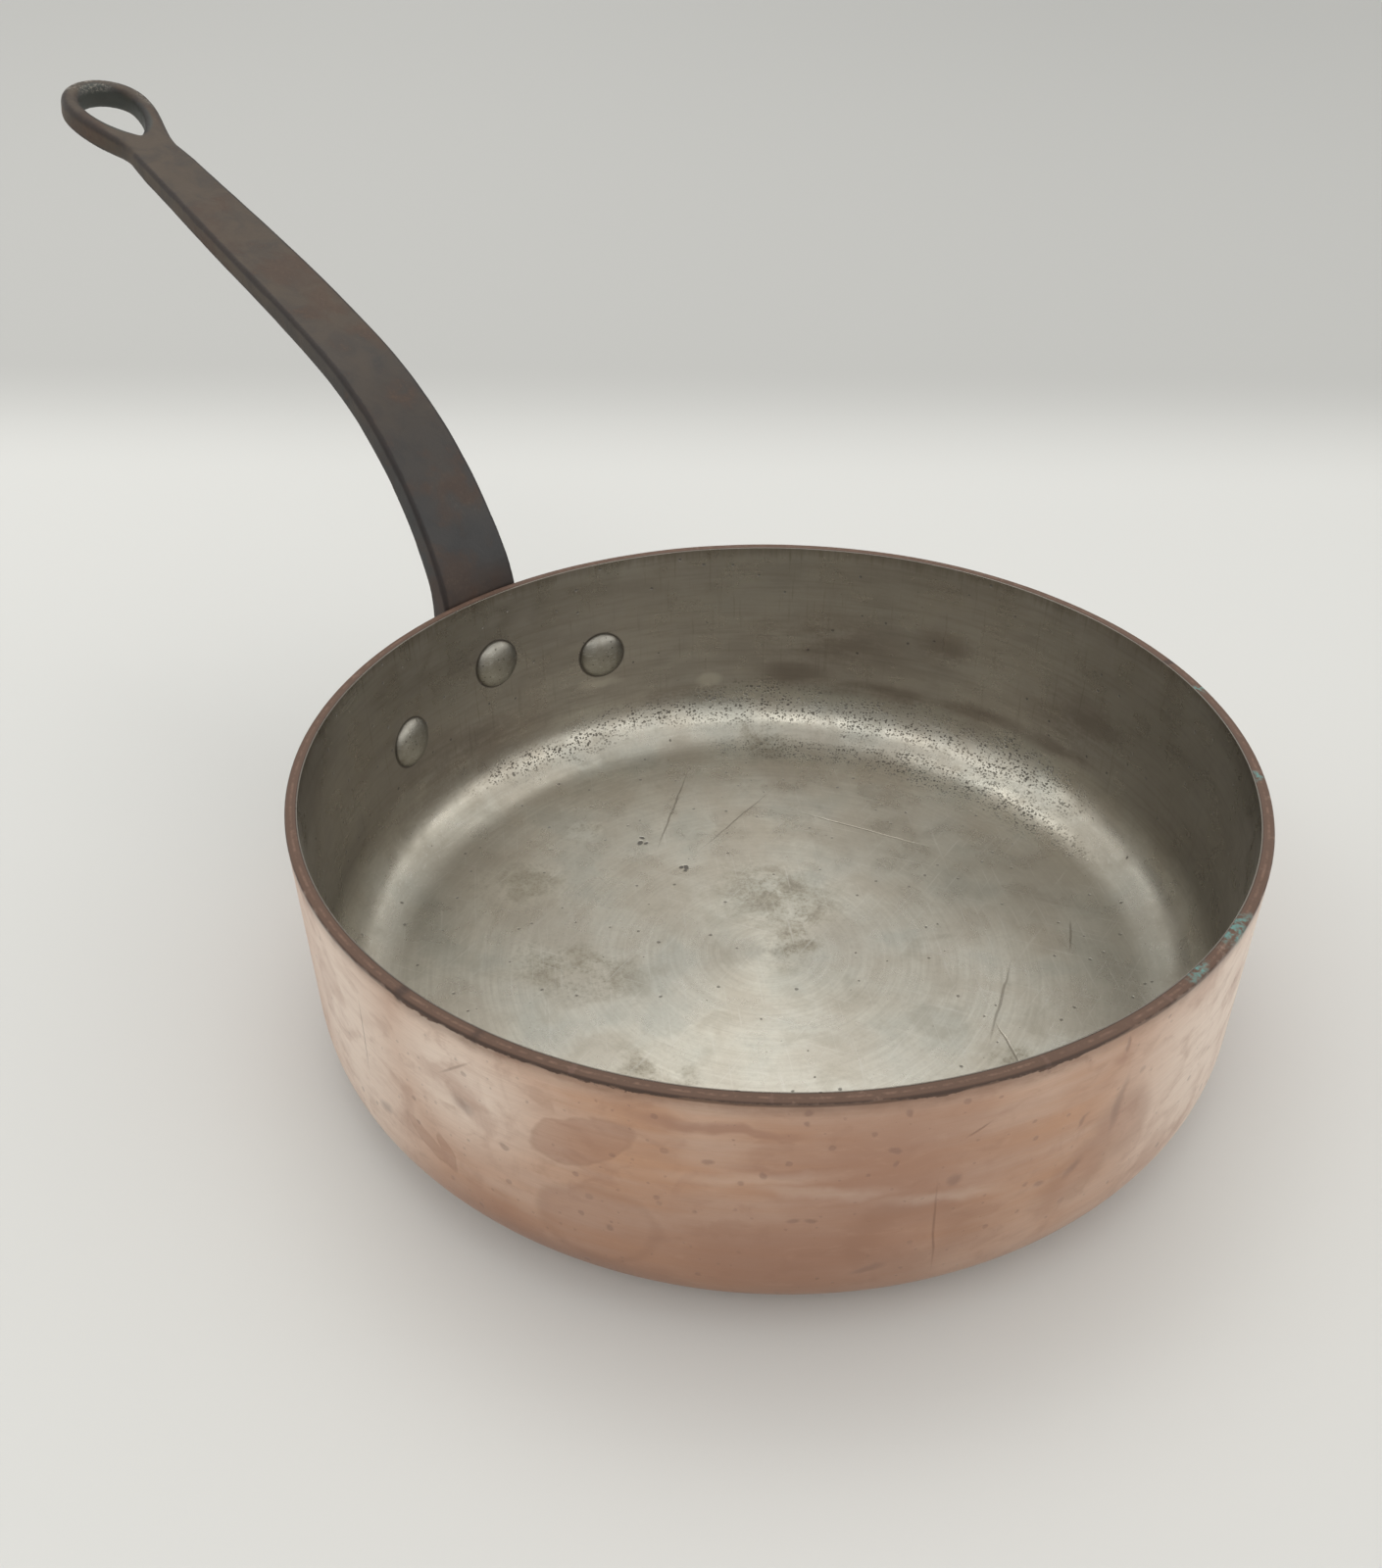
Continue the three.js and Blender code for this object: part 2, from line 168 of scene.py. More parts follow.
COPPER_DOTS = (
    (145.9, 65.7, 0.8, 0.9, 0, 0.5),
    (136.8, 66.8, 0.8, 0.7, 0, 0.5),
    (136.9, 63.9, 0.6, 0.7, 0, 0.5),
    (144.9, 55.6, 0.9, 0.9, 0, 0.5),
    (144.9, 51.8, 0.6, 0.9, 0, 0.5),
    (151.3, 43.7, 1.5, 1.5, 0, 0.6),
    (165.5, 47.6, 1.8, 0.6, 50, 0.6),
    (165.1, 34.7, 2.6, 1.2, 50, 0.7),
    (161, 33.5, 1.1, 0.9, 0, 0.6),
    (170, 47.6, 1.3, 6, -4, 0.7),
    (169.5, 65.3, 0.5, 1.9, 0, 0.5),
    (136, 36.5, 1, 0.8, 0, 0.6),
    (137.6, 36.6, 1, 0.8, 0, 0.6),
    (143.3, 20, 3.2, 0.8, 20, 0.7),
    (106.6, 41.1, 1, 0.8, 0, 0.4),
    (128, 53.2, 1, 0.7, 0, 0.5),
    (133, 50.1, 0.8, 1, 0, 0.5),
    (117.9, 27.5, 0.9, 0.9, 0, 0.5),
    (88.1, 27.4, 2.2, 1.6, 30, 0.7),
    (101.8, 48.2, 2.6, 1.8, -20, 0.8),
)
PALE_STREAKS = (
    (132, 48.6, 15, 1.4, 5, 0.9),
    (139, 45, 11, 1.6, -7, 0.9),
    (151, 39, 12, 1.4, -8, 0.9),
    (178, 56.8, 8, 1.6, 4, 0.8),
)
# Specks: shift of the layout, strength, cell, share of the cells, size and softness
COPPER_SPECKS = (
    ((0.0, 0.0, 0.0), 0.8, 8.5, 0.45, 0.75, 0.45),
    ((31.0, 17.0, 0.0), 0.6, 17.0, 0.45, 1.0, 0.60),
    ((12.0, 43.0, 0.0), 0.5, 3.4, 0.25, 0.40, 0.20),
)
# The rim: a rubbed line along its middle, and a dark line at each edge
RIM_LINE_RADIUS = 118.5
RIM_EDGE_RADII = (119.95, 117.15)
RIM_TARNISH = (
    (97, 70, 7, 6, 0, 0.6),
    (106, 70, 9, 5, 0, 0.6),
    (118, 70, 12, 3, 0, 0.6),
    (148, 70, 6, 3, 0, 0.6),
    (160, 70, 12, 4, 0, 0.6),
    (236, 70, 10, 4, 0, 0.6),
    (290, 70, 14, 4, 0, 0.6),
)
RIM_NICKS = (
    (94.5, 69.6, 1.3, 1.6, 0, 0.7),
    (104.6, 69.2, 1.2, 0.8, 0, 0.7),
    (247, 70, 1.2, 0.9, 0, 0.4),
)
# Centre, half sizes out, round and up, and bearing, in millimetres and degrees
VERDIGRIS = (
    ((-116.6, -19, 70), (2.4, 5.5, 2.4), 189.3, 0, 0.5),
    ((-117.4, -2, 70), (2, 3.5, 2), 181, 0, 0.5),
    ((-90.5, -74.8, 70), (1.6, 2, 2), 219.6, 0, 0.5),
    ((-60, -101.5, 70), (1.5, 2, 2), 239.4, 0, 0.5),
)
# Marks on the pan's floor: x, y, half sizes, turn and softness
FLOOR_STAINS = (
    (72, 30, 13, 9, 60, 0.7),
    (78, 0, 5, 6, 20, 0.35),
    (33, 44, 15, 9, 30, 0.8),
    (72, -74, 9, 7, 40, 0.8),
    (-3, -7.6, 7, 9, 30, 0.6),
    (14, -20, 16, 10, 10, 0.9),
    (-14, 54, 9, 6, 0, 0.8),
    (-73, -15, 6, 4, 40, 0.6),
)
# Painted shade: zones where the lining's floor is laid darker on its two flanks, standing in for its dark
# reflection
PAINTED_SHADE_FLOOR = (
    (88, 58, 20, 34, 35, 0.9),
    (-74, -70, 22, 62, 43, 0.9),
    (-20, -72, 42, 20, 15, 0.9),
)
WALL_STAINS = (
    (296, 21.5, 19, 2.6, -3, 0.7),
    (279, 22.5, 18, 2.4, -2, 0.7),
    (263, 23, 13, 2.6, -4, 0.7),
    (309, 25, 12, 4.5, 0, 0.7),
    (303.5, 37, 22, 9, 0, 0.8),
    (286, 42, 8, 6, 0, 0.8),
    (262, 34, 16, 9, 0, 0.8),
    (328, 18, 14, 3, 0, 0.7),
    (8, 22, 34, 9, 0, 0.9),
    (60, 34, 18, 12, 0, 0.9),
    (150, 30, 24, 9, 0, 0.8),
    (205, 26, 20, 8, 0, 0.8),
)
PALE_WALL = (
    (323.5, 22.6, 4.2, 2.6, 0, 0.4),
    (342, 28, 7, 1.6, 4, 0.6),
)
# Where the lining is pitted: radius, bearing, height, half width, half height, tilt, softness,
# half depth
PIT_ZONES = (
    (116, 352, 10, 32, 3.2, 0, 0.6, 12),
    (116, 334, 13.5, 30, 4, 0, 0.6, 12),
    (116, 314, 13.5, 34, 6, 0, 0.6, 12),
    (116, 292, 12, 34, 6, 0, 0.6, 12),
    (116, 270, 11, 30, 6.5, 0, 0.6, 12),
    (101, 306, 3, 30, 5, 0, 0.5, 5.5),
    (102, 284, 3, 30, 5, 0, 0.5, 6.5),
    (102, 264, 3, 22, 5, 0, 0.6, 5.5),
)
FLOOR_PITS = (
    (63.5, -10.7, 0.9, 0.6, 10, 0.3),
    (62, -8.6, 0.8, 1.2, 30, 0.3),
    (60.6, -9.8, 0.6, 0.8, 0, 0.3),
    (43.3, -10.2, 0.7, 1.2, 60, 0.3),
    (44.3, -9.2, 0.6, 0.8, 10, 0.3),
    (42.4, -9, 0.5, 0.6, 0, 0.3),
    (-21.5, -114.6, 1.8, 0.9, 20, 0.4),
)
FLOOR_LINES = (
    (68, -28, 18, 0.30, 124, 0.4),
    (-54.6, -65.5, 6, 0.30, -56, 0.5),
    (-57, -30, 13, 0.35, -64, 0.5),
    (-70, -17, 9, 0.30, -30, 0.5),
    (50, -38, 16, 0.22, 100, 0.5),
    (20, -62, 20, 0.22, 20, 0.5),
)

# Scuffs run three ways across the floor. Degrees
SCUFF_ANGLES = (37.0, -24.0, 78.0)
# Pits as specks: cell, share of the cells, size and softness, some with a shift before them
TINY_PITS = (
    ((0.0, 0.0, 0.0), 0.95, 0.85, 0.34, 0.20),
    ((9.0, 3.0, 0.0), 1.7, 0.60, 0.50, 0.26),
)
SPARSE_PITS = (8.0, 0.50, 0.45, 0.24)
RIVET_PITS, RIVET_PITS_RADIUS = (1.7, 0.4, 0.30, 0.15), 115.0
# Dirt and painted shade round the inner heads
RING_RADIUS, RING_WIDTH, RING_SOFTNESS = 116.5, 0.55, 0.035
# Patches on the handle: centre, half sizes, bearing, tilt and softness. The last three are in
# the loop's frame
NEAR_RIM = ((124.0, 0.0, 67.0), (14.0, 14.0, 9.0), 0.0, 0.0, 0.6)
IN_HOLE = ((-5.0, 0.0, -4.0), (17.0, 9.8, 20.0), 0.0, 0.0, 0.05)
FAR_EDGE = ((LOOP_END_REACH, 0.0, 0.0), (7.0, 13.0, 6.0), 0.0, 0.0, 0.4)
RIGHT_EDGE = ((0.0, -LOOP_HALF_WIDTH, 0.0), (9.0, 3.0, 4.0), 0.0, 0.0, 0.4)

# Tones laid over the colours of the settings
# Brown of the stains' edges, and also the tone of the painted shade towards the base
BROWN_STAIN_AND_SHADE = (0.30, 0.17, 0.12)
DARK_STROKE = (0.44, 0.25, 0.17)
PALE_STROKE = (0.76, 0.53, 0.40)
BRUSHED = (0.42, 0.26, 0.185)
BLOTCH = (0.40, 0.235, 0.17)
RUBBED_RIM = (0.26, 0.155, 0.11)
COPPER_SPECK = (0.15, 0.075, 0.055)
RIM_LINE = (0.045, 0.028, 0.022)
DARK_ARC = (0.35, 0.32, 0.26)
PALE_STEEL = (0.58, 0.57, 0.52)
WARM_STEEL = (0.40, 0.33, 0.25)
COOL_STEEL = (0.40, 0.42, 0.38)
SMUDGE = (0.34, 0.305, 0.24)
FINE_GRIME = (0.32, 0.29, 0.24)
GRIT = (0.26, 0.24, 0.20)
SHADED_FLOOR_STEEL = (0.28, 0.265, 0.22)
# Tone of the painted shade over the lining's wall
WALL_SHADE_STEEL = (0.286, 0.264, 0.236)
DARK_WIPE = (0.195, 0.172, 0.152)
PALE_WIPE = (0.385, 0.375, 0.34)
FINE_WIPE = (0.175, 0.155, 0.138)
DRIP = (0.17, 0.15, 0.125)
WALL_STAIN = (0.155, 0.125, 0.105)
GRIME = (0.13, 0.105, 0.075)
PALE_SPOT = (0.52, 0.49, 0.43)
SCUFF = (0.68, 0.66, 0.61)
SCRATCH = (0.17, 0.145, 0.115)
RING_DIRT_AND_SHADE = (0.06, 0.05, 0.04)
CLOUDED_RIVET = (0.27, 0.25, 0.21)
RIVET_NICK = (0.70, 0.68, 0.62)
RIVET_GRIME = (0.20, 0.18, 0.15)
RIVET_PIT = (0.07, 0.06, 0.05)
BLACK_IRON = (0.030, 0.032, 0.034)
PALE_DUST = (0.15, 0.115, 0.085)
WARM_IRON = (0.13, 0.078, 0.045)
HOLE_GREEN = (0.050, 0.056, 0.050)
EDGE_BLACK = (0.020, 0.015, 0.015)

# Where the camera stands and how it is turned, from the photograph's perspective
CAMERA_PLACE = (-0.21103, 0.22789, 0.27152)
CAMERA_TURN = (55.613, 0.551, -133.773)
SENSOR_WIDTH, CLIP_START, CLIP_END = 36.0, 0.01, 20.0

# The way behind the pan as the camera sees it, and where the floor's far part begins and ends. Further
# off and towards one side the floor is darkened by painted shade
BEHIND = (0.679, -0.734)
FAR_START, FAR_END, DIM_END, ACROSS_END = 330.0, 500.0, 2200.0, 700.0
FAR_DIMMING, ACROSS_DIMMING = 0.08, 0.10
# The ways to the middle of the sky's near glow and of its far glow
NEAR_GLOW, FAR_GLOW = (-0.305, 0.952), (0.817, -0.577)
SKY_COLOUR = (1.0, 0.995, 0.975, 1.0)
# Keeps a division by the level part of a way from failing straight up
LEAST_LEVEL = 0.001
# The sky in bands, by how far up they are, with their brightness on the camera's side, on the
# two sides and behind the pan
SKY_BANDS = (
    (0.0, 0.3, 1.0, 1.1),
    (0.42, 0.1, 1.9, 0.80),
    (0.60, 0.7, 1.2, 0.60),
    (0.74, 3.2, 0.8, 0.75),
    (0.86, 0.5, 0.8, 2.8),
    (0.92, 0.1, 0.9, 4.2),
    (1.0, 0.9, 0.9, 0.9),
)


# Settings

def length(name, millimetres, description):
    return FloatProperty(
        name=name, default=millimetres * MM, description=description, unit="LENGTH", precision=5
    )


def turn(name, degrees, description):
    return FloatProperty(
        name=name, default=math.radians(degrees), description=description, subtype="ANGLE"
    )


def tone(name, colour, description):
    return FloatVectorProperty(
        name=name, default=colour, size=3, min=0.0, max=1.0, description=description, subtype="COLOR"
    )


class BodySettings(bpy.types.PropertyGroup):
    """Sizes and finish of the copper body and its lining."""

    diameter: length("Diameter", (SHELL_HIGH.x - SHELL_LOW.x) / MM, "Across the outside of the rim")
    height: length("Height", (SHELL_HIGH.z - SHELL_LOW.z) / MM, "From the base to the rim")
    corner: length("Corner Radius", CORNER_RADIUS, "Outside, where the wall turns into the base")
    draft: length("Wall Draft", WALL_DRAFT, "How much narrower the wall is at the corner than at the rim")
    copper_thickness: length("Copper Thickness", 2.7, "Of the copper, base and wall")
    lining_depth: length("Lining Depth", 2.71, "From the outer skin in to the lining's bonded face")
    wall_thickness: length("Wall Thickness", 3, "Of the copper and the lining together")
    rim_edge: length("Rim Edge", 0.55, "Rounding of the rim's outer edge")
    waviness: length("Waviness", 0.14, "How far the wall wanders in from a true circle")
    segments: IntProperty(name="Segments", default=256, min=24, description="Facets round the pan")
    copper: tone("Copper", (0.60, 0.362, 0.243), "Clean satin copper")
    # Also the tone of the painted sheen on the flanks
    pale_copper: tone("Pale Copper", (0.90, 0.77, 0.67), "Copper with a pale bloom")
    # Also the tone of the painted shade zones on the wall
    tarnish_and_shade: tone("Tarnish", (0.42, 0.245, 0.18), "Copper under old stains")
    rim_brown: tone("Rim Brown", (0.118, 0.068, 0.046), "Oxide along the rim")
    verdigris: tone("Verdigris", (0.13, 0.27, 0.25), "Green crust at the rim")
    steel: tone("Steel", (0.605, 0.577, 0.495), "Satin steel of the lining")
    stain: tone("Stain", (0.27, 0.24, 0.175), "Cooking stains on the lining")
    pit: tone("Pit", (0.05, 0.042, 0.035), "Pits in the lining")


class RivetSettings(bpy.types.PropertyGroup):
    """Sizes and finish of the three rivets."""

    shank: length("Shank Radius", 3.8, "Of the rivet through the wall and the handle")
    inner_radius: length("Inner Head Radius", 7.4, "Of the low head inside the pan")
    inner_height: length("Inner Head Height", 2.6, "Of the low head inside the pan")
    outer_radius: length("Outer Head Radius", 6.4, "Of the set head on the handle")
    outer_height: length("Outer Head Height", 3, "Of the set head on the handle")
    side_angle: turn(
        "Side Rivet Angle", SIDE_RIVET_ANGLE, "Round the wall, from the handle to a side rivet"
    )
    side_height: length(
        "Side Rivet Height", SIDE_RIVET_HEIGHT, "Of the two side rivets above the base"
    )
    centre_height: length(
        "Centre Rivet Height", CENTRE_RIVET_HEIGHT, "Of the middle rivet above the base"
    )
    segments: IntProperty(name="Segments", default=72, min=12, description="Facets round a head")
    steel: tone("Steel", (0.35, 0.335, 0.295), "Of the rivets")


class HandleSettings(bpy.types.PropertyGroup):
    """Sizes and finish of the iron handle."""

    voxel: length("Grain of the Mesh", 0.62, "Spacing of the mesh's points")
    unevenness: length("Unevenness", 0.16, "How far the forged faces wander")
    iron: tone("Iron", (0.043, 0.042, 0.042), "Dark iron near the pan")
    brown: tone("Brown Iron", (0.073, 0.053, 0.036), "Browned iron towards the loop")
    worn: tone("Worn Edge", (0.42, 0.38, 0.32), "Iron chipped bright at the loop")
    rust: tone("Rust", (0.085, 0.046, 0.028), "Thin rust")


class StageSettings(bpy.types.PropertyGroup):
    """The floor, the light and the camera."""

    paper: tone("Paper", (0.68, 0.68, 0.66), "Of the floor")
    far_paper: tone("Far Paper", (0.495, 0.495, 0.48), "Of the floor where it rises behind the pan")
    floor_reach: length("Floor Reach", 3400, "From the pan to the floor's edge")
    sky: FloatProperty(name="Sky", default=1.0, min=0.0, description="Brightness of the sky")
    lens: FloatProperty(name="Lens", default=38.298, description="Focal length in millimetres")


# Node trees

class Socket:
    """An output of a node. A sum written with it adds the nodes that work it out."""

    def __init__(self, graph, output):
        self.graph = graph
        self.output = output

    def __add__(self, other):
        return self.graph.maths("ADD", self, other)

    def __radd__(self, other):
        return self.graph.maths("ADD", other, self)

    def __sub__(self, other):
        return self.graph.maths("SUBTRACT", self, other)

    def __rsub__(self, other):
        return self.graph.maths("SUBTRACT", other, self)

    def __mul__(self, other):
        return self.graph.maths("MULTIPLY", self, other)

    def __rmul__(self, other):
        return self.graph.maths("MULTIPLY", other, self)

    def __truediv__(self, other):
        return self.graph.maths("DIVIDE", self, other)

    def __pow__(self, other):
        return self.graph.maths("POWER", self, other)


class Graph:
    """A node tree, and the ways that nodes are added to it."""

    def __init__(self, tree):
        self.tree = tree

    def add(self, kind, settings=None, inputs=None, output=0):
        """Adds a node: its settings first, then a value or link for each input."""
        node = self.tree.nodes.new(kind)
        for name, value in (settings or {}).items():
            setattr(node, name, value)
        for key, value in (inputs or {}).items():
            if isinstance(value, Socket):
                self.tree.links.new(value.output, node.inputs[key])
            else:
                node.inputs[key].default_value = value
        return Socket(self, node.outputs[output])

    def maths(self, operation, *values):
        """Maths on numbers, or on vectors if any of the values is one."""
        if not any(is_vector(value) for value in values):
            return self.add("ShaderNodeMath", {"operation": operation}, dict(enumerate(values)))
        vectors = [(value,) * 3 if isinstance(value, (int, float)) else value for value in values]
        return self.add("ShaderNodeVectorMath", {"operation": operation}, dict(enumerate(vectors)))

    def length(self, vector):
        return self.add("ShaderNodeVectorMath", {"operation": "LENGTH"}, {0: vector}, "Value")

    def xyz(self, vector):
        node = self.add("ShaderNodeSeparateXYZ", None, {0: vector}).output.node
        return [Socket(self, output) for output in node.outputs]

    def red(self, colour):
        return self.add("ShaderNodeSeparateColor", None, {0: colour})

    def combine(self, x, y, z):
        return self.add("ShaderNodeCombineXYZ", None, {0: x, 1: y, 2: z})

    def rise(self, value, low, high, start=0.0, end=1.0):
        """Runs smoothly from start to end as the value goes from low to high."""
        settings = {"interpolation_type": "SMOOTHSTEP"}
        inputs = {0: value, 1: low, 2: high, 3: start, 4: end}
        return self.add("ShaderNodeMapRange", settings, inputs)

    def noise(self, vector, detail=3.0, roughness=0.5, distortion=0.0, output=0):
        inputs = {
            "Vector": vector, "Scale": 1.0, "Detail": detail,
            "Roughness": roughness, "Distortion": distortion,
        }
        return self.add("ShaderNodeTexNoise", None, inputs, output)

    def mix(self, factor, first, second):
        """Mixes two colours."""
        colours = [(*c, 1.0) if isinstance(c, tuple) else c for c in (first, second)]
        settings = {"data_type": "RGBA"}
        return self.add("ShaderNodeMix", settings, {0: factor, 6: colours[0], 7: colours[1]}, 2)

    def lay_over(self, colour, layers):
        """Lays tones over a colour one after another, each as strongly as its factor."""
        for factor, tint in layers:
            colour = self.mix(factor, colour, tint)
        return colour

    def most(self, *values):
        largest = values[0]
        for value in values[1:]:
            largest = self.maths("MAXIMUM", largest, value)
        return largest


def is_vector(value):
    if isinstance(value, Socket):
        return value.output.type == "VECTOR"
    return isinstance(value, tuple)


def new_material(name):
    material = bpy.data.materials.new(name)
    material.use_nodes = True
    material.node_tree.nodes.clear()
    return material, Graph(material.node_tree)


def place_in_mm(graph):
    """Where a point of the surface is, in millimetres."""
    return graph.add("ShaderNodeTexCoord", output="Object") * (1 / MM)


def wobble(graph, place, size, amount, seed=0.0):
    """The place, pushed about by noise whose waves are a size long."""
    spread = graph.noise(place * (1 / size) + (seed, seed, seed), 3.0, output=1)
    vector = graph.add("ShaderNodeVectorMath", {"operation": "SUBTRACT"}, {0: spread, 1: (0.5,) * 3})
    return place + vector * amount


def patch(graph, place, centre, half_size, bearing=0.0, tilt=0.0, soft=0.4):
    """Mask of an oval patch: 1 inside, 0 outside. Its half sizes are out from the axis, round
    the pan and up, and it tilts round the line out from the axis. Degrees and millimetres."""
    inputs = {
        "Vector": place,
        "Location": centre,
        "Rotation": (math.radians(tilt), 0.0, math.radians(bearing)),
        "Scale": half_size,
    }
    local = graph.add("ShaderNodeMapping", {"vector_type": "TEXTURE"}, inputs)
    return graph.rise(graph.length(local), 1 + soft, 1 - soft)


def wall_patch(graph, place, radius, bearing, height, wide, high, tilt=0.0, soft=0.4,
               deep=WALL_MARK_DEPTH):
    """An oval patch on the wall, at a bearing round the pan and a height above its base."""
    angle = math.radians(bearing)
    centre = (radius * math.cos(angle), radius * math.sin(angle), height)
    return patch(graph, place, centre, (deep, wide, high), bearing, tilt, soft)


def floor_patch(graph, place, x, y, along, across, turned=0.0, soft=0.4):
    """An oval patch on the pan's floor."""
    centre, half_size = (x, y, FLOOR_LEVEL), (along, across, FLOOR_MARK_DEPTH)
    return patch(graph, place, centre, half_size, turned, 0.0, soft)


def wall_patches(graph, place, radius, rows):
    """Mask of a table of patches on the wall."""
    return graph.most(*[wall_patch(graph, place, radius, *row) for row in rows])


def floor_patches(graph, place, rows):
    """Mask of a table of patches on the pan's floor."""
    return graph.most(*[floor_patch(graph, place, *row) for row in rows])


def finish(graph, colour, roughness, metallic, normal, **constants):
    inputs = {"Base Color": colour, "Roughness": roughness, "Metallic": metallic}
    if normal is not None:
        inputs["Normal"] = normal
    for name, value in constants.items():
        inputs[name.replace("_", " ")] = value
    end_surface(graph, graph.add("ShaderNodeBsdfPrincipled", None, inputs))


def bumps(graph, layers):
    """Bumps on top of one another: height, depth in millimetres and strength of each."""
    inputs = {}
    for height, depth, strength in layers:
        inputs.update({"Height": height, "Distance": depth * MM, "Strength": strength})
        inputs["Normal"] = graph.add("ShaderNodeBump", None, inputs)
    return inputs["Normal"]


def end_surface(graph, shader):
    output = graph.tree.nodes.new("ShaderNodeOutputMaterial")
    graph.tree.links.new(shader.output, output.inputs["Surface"])


# Surfaces

def copper_surface(body):
    material, graph = new_material("satin_copper")
    place = place_in_mm(graph)
    x, y, z = graph.xyz(place)
    radius = graph.length(graph.combine(x, y, 0.0))
    on_wall = body.diameter / 2 / MM

    broad = graph.noise(place * (1 / 60), 3.0)
    streaks = graph.noise(place * (0.016, 0.016, 0.15), 5.0, 0.6)
    cloudy = graph.noise(place * (1 / 16), 5.0, 0.55, 0.6)
    strokes = graph.noise(wobble(graph, place, 14.0, 6.0) * (0.11, 0.11, 0.34), 6.0, 0.62)
    brushed = graph.noise(place * (0.06, 0.06, 3.0), 3.0, 0.65)
    mottled = graph.noise(place * 0.55, 4.0, 0.65)
    blotchy = graph.noise(place * (0.11, 0.11, 0.17) + (5.0, 0.0, 0.0), 4.0, 0.6, 0.5)

    # A painted sheen on both flanks, pale copper standing in for a bright reflection, and old stains with
    # edges that can be seen
    painted_sheen = wall_patches(graph, place, on_wall, PAINTED_SHEEN_ZONES)
    loose = wobble(graph, place, 9.0, 5.0)
    looser = wobble(graph, place, 20.0, 14.0, 4.0)
    stains = wall_patches(graph, loose, on_wall, COPPER_STAINS)
    stain_edge = stains * (1.0 - stains) * 4.0
    # Painted shade: darker copper where the wall faces the camera and low down, standing in for its dark
    # reflections
    dull_painted_shade = wall_patches(graph, looser, on_wall, PAINTED_SHADE_ZONES)
    drift = graph.rise(cloudy, 0.50, 0.72) * 0.40

    # Dark specks of about a millimetre, and long fine scratches
    unrolled = unroll(graph, wobble(graph, place, 1.6, 0.7), on_wall)
    specks = graph.most(wall_patches(graph, loose, on_wall, COPPER_DOTS), *[
        speckle(graph, unrolled + offset, *sizes) * strength
        for offset, strength, *sizes in COPPER_SPECKS
    ])
    pale_streaks = wall_patches(graph, loose, on_wall, PALE_STREAKS)
    near_line = wobble(graph, place, 12.0, 1.2)
    scratches = wall_patches(graph, near_line, on_wall, COPPER_SCRATCHES)

    rim_oxide, rim_soft = rim_oxides(graph, place, z, on_wall, strokes)
    rubbed, rim_lines = rim_wear(graph, z, radius, mottled)
    nicks = wall_patches(graph, place, on_wall, RIM_NICKS)
    crust = rim_crust(graph, place)

    # The copper is painted darker towards the base, a painted shade standing in for its dark reflection
    # of the floor at its foot, and it is paler in wide patches
    base_shade = graph.rise(z, *BASE_SHADE_FADE)
    lighter = graph.rise(broad + streaks * 0.5, 0.62, 0.92, 0.0, 0.35)

    colour = graph.lay_over(body.copper[:], (
        (graph.rise(streaks, 0.32, 0.68, 0.0, 0.30), body.tarnish_and_shade[:]),
        (graph.most(painted_sheen, lighter), body.pale_copper[:]),
        (graph.most(stains * 0.42, drift, dull_painted_shade * 0.76), body.tarnish_and_shade[:]),
        (stain_edge * 0.20, BROWN_STAIN_AND_SHADE),
        (graph.rise(strokes, 0.46, 0.68, 0.0, 0.16), DARK_STROKE),
        (graph.rise(strokes, 0.46, 0.30, 0.0, 0.12), PALE_STROKE),
        (graph.rise(brushed, 0.35, 0.75, 0.0, 0.15), BRUSHED),
        (graph.rise(blotchy, 0.52, 0.68, 0.0, 0.26), BLOTCH),
        (pale_streaks * strokes * 0.45, body.pale_copper[:]),
        (base_shade * 0.45, BROWN_STAIN_AND_SHADE),
        (graph.most(rim_oxide, rim_soft), body.rim_brown[:]),
        (rubbed * 0.5, RUBBED_RIM),
        (graph.most(specks * 0.42, scratches * 0.34), COPPER_SPECK),
        (graph.most(nicks * 0.7, rim_lines * 0.6), RIM_LINE),
        (crust * 0.9, body.verdigris[:]),
    ))

    roughness = 0.29 + streaks * 0.08 + drift * 0.10 + rim_oxide * 0.34 + brushed * 0.04
    roughness = roughness + crust * 0.3 + base_shade * 0.08 + painted_sheen * 0.04 + stains * 0.05
    metallic = 1.0 - crust * 0.95 - rim_oxide * 0.75 - specks * 0.4
    sunk = graph.most(specks * 0.5, scratches * 0.4, nicks)
    relief = bumps(graph, (
        (broad, 0.30, 1.0),
        (cloudy, 0.05, 1.0),
        (brushed, 0.004, 0.8),
        (mottled, 0.008, 0.6),
        (crust - sunk, 0.10, 1.0),
    ))
    finish(graph, colour, roughness, metallic, relief, Anisotropic=0.35, Anisotropic_Rotation=0.25)
    return material


def rim_oxides(graph, place, z, on_wall, strokes):
    """Oxide that runs ragged over the rim's outer edge, and the softer tone below it."""
    ragged = graph.noise(place * (0.30, 0.30, 0.5), 5.0, 0.7)
    reach = wall_patches(graph, place, on_wall, RIM_TARNISH)
    lip = z - PAN_HEIGHT + ragged * 1.3 + reach * (ragged * 3.4 - 0.8)
    return graph.rise(lip, -0.20, 0.40), graph.rise(lip, -4.5, 0.5) * (0.18 + strokes * 0.5)


def rim_wear(graph, z, radius, mottled):
    """A rubbed line along the middle of the rim, and a dark line at each of its edges."""
    rubbed = graph.rise(graph.maths("ABSOLUTE", radius - RIM_LINE_RADIUS), 0.45, 0.10)
    rubbed = rubbed * graph.rise(z, *RUBBED_FADE) * graph.rise(mottled, 0.40, 0.65)
    edges = [graph.maths("ABSOLUTE", radius - line) for line in RIM_EDGE_RADII]
    lines = graph.rise(graph.maths("MINIMUM", *edges), 0.42, 0.12)
    return rubbed, lines * graph.rise(z, *RIM_LINE_FADE)


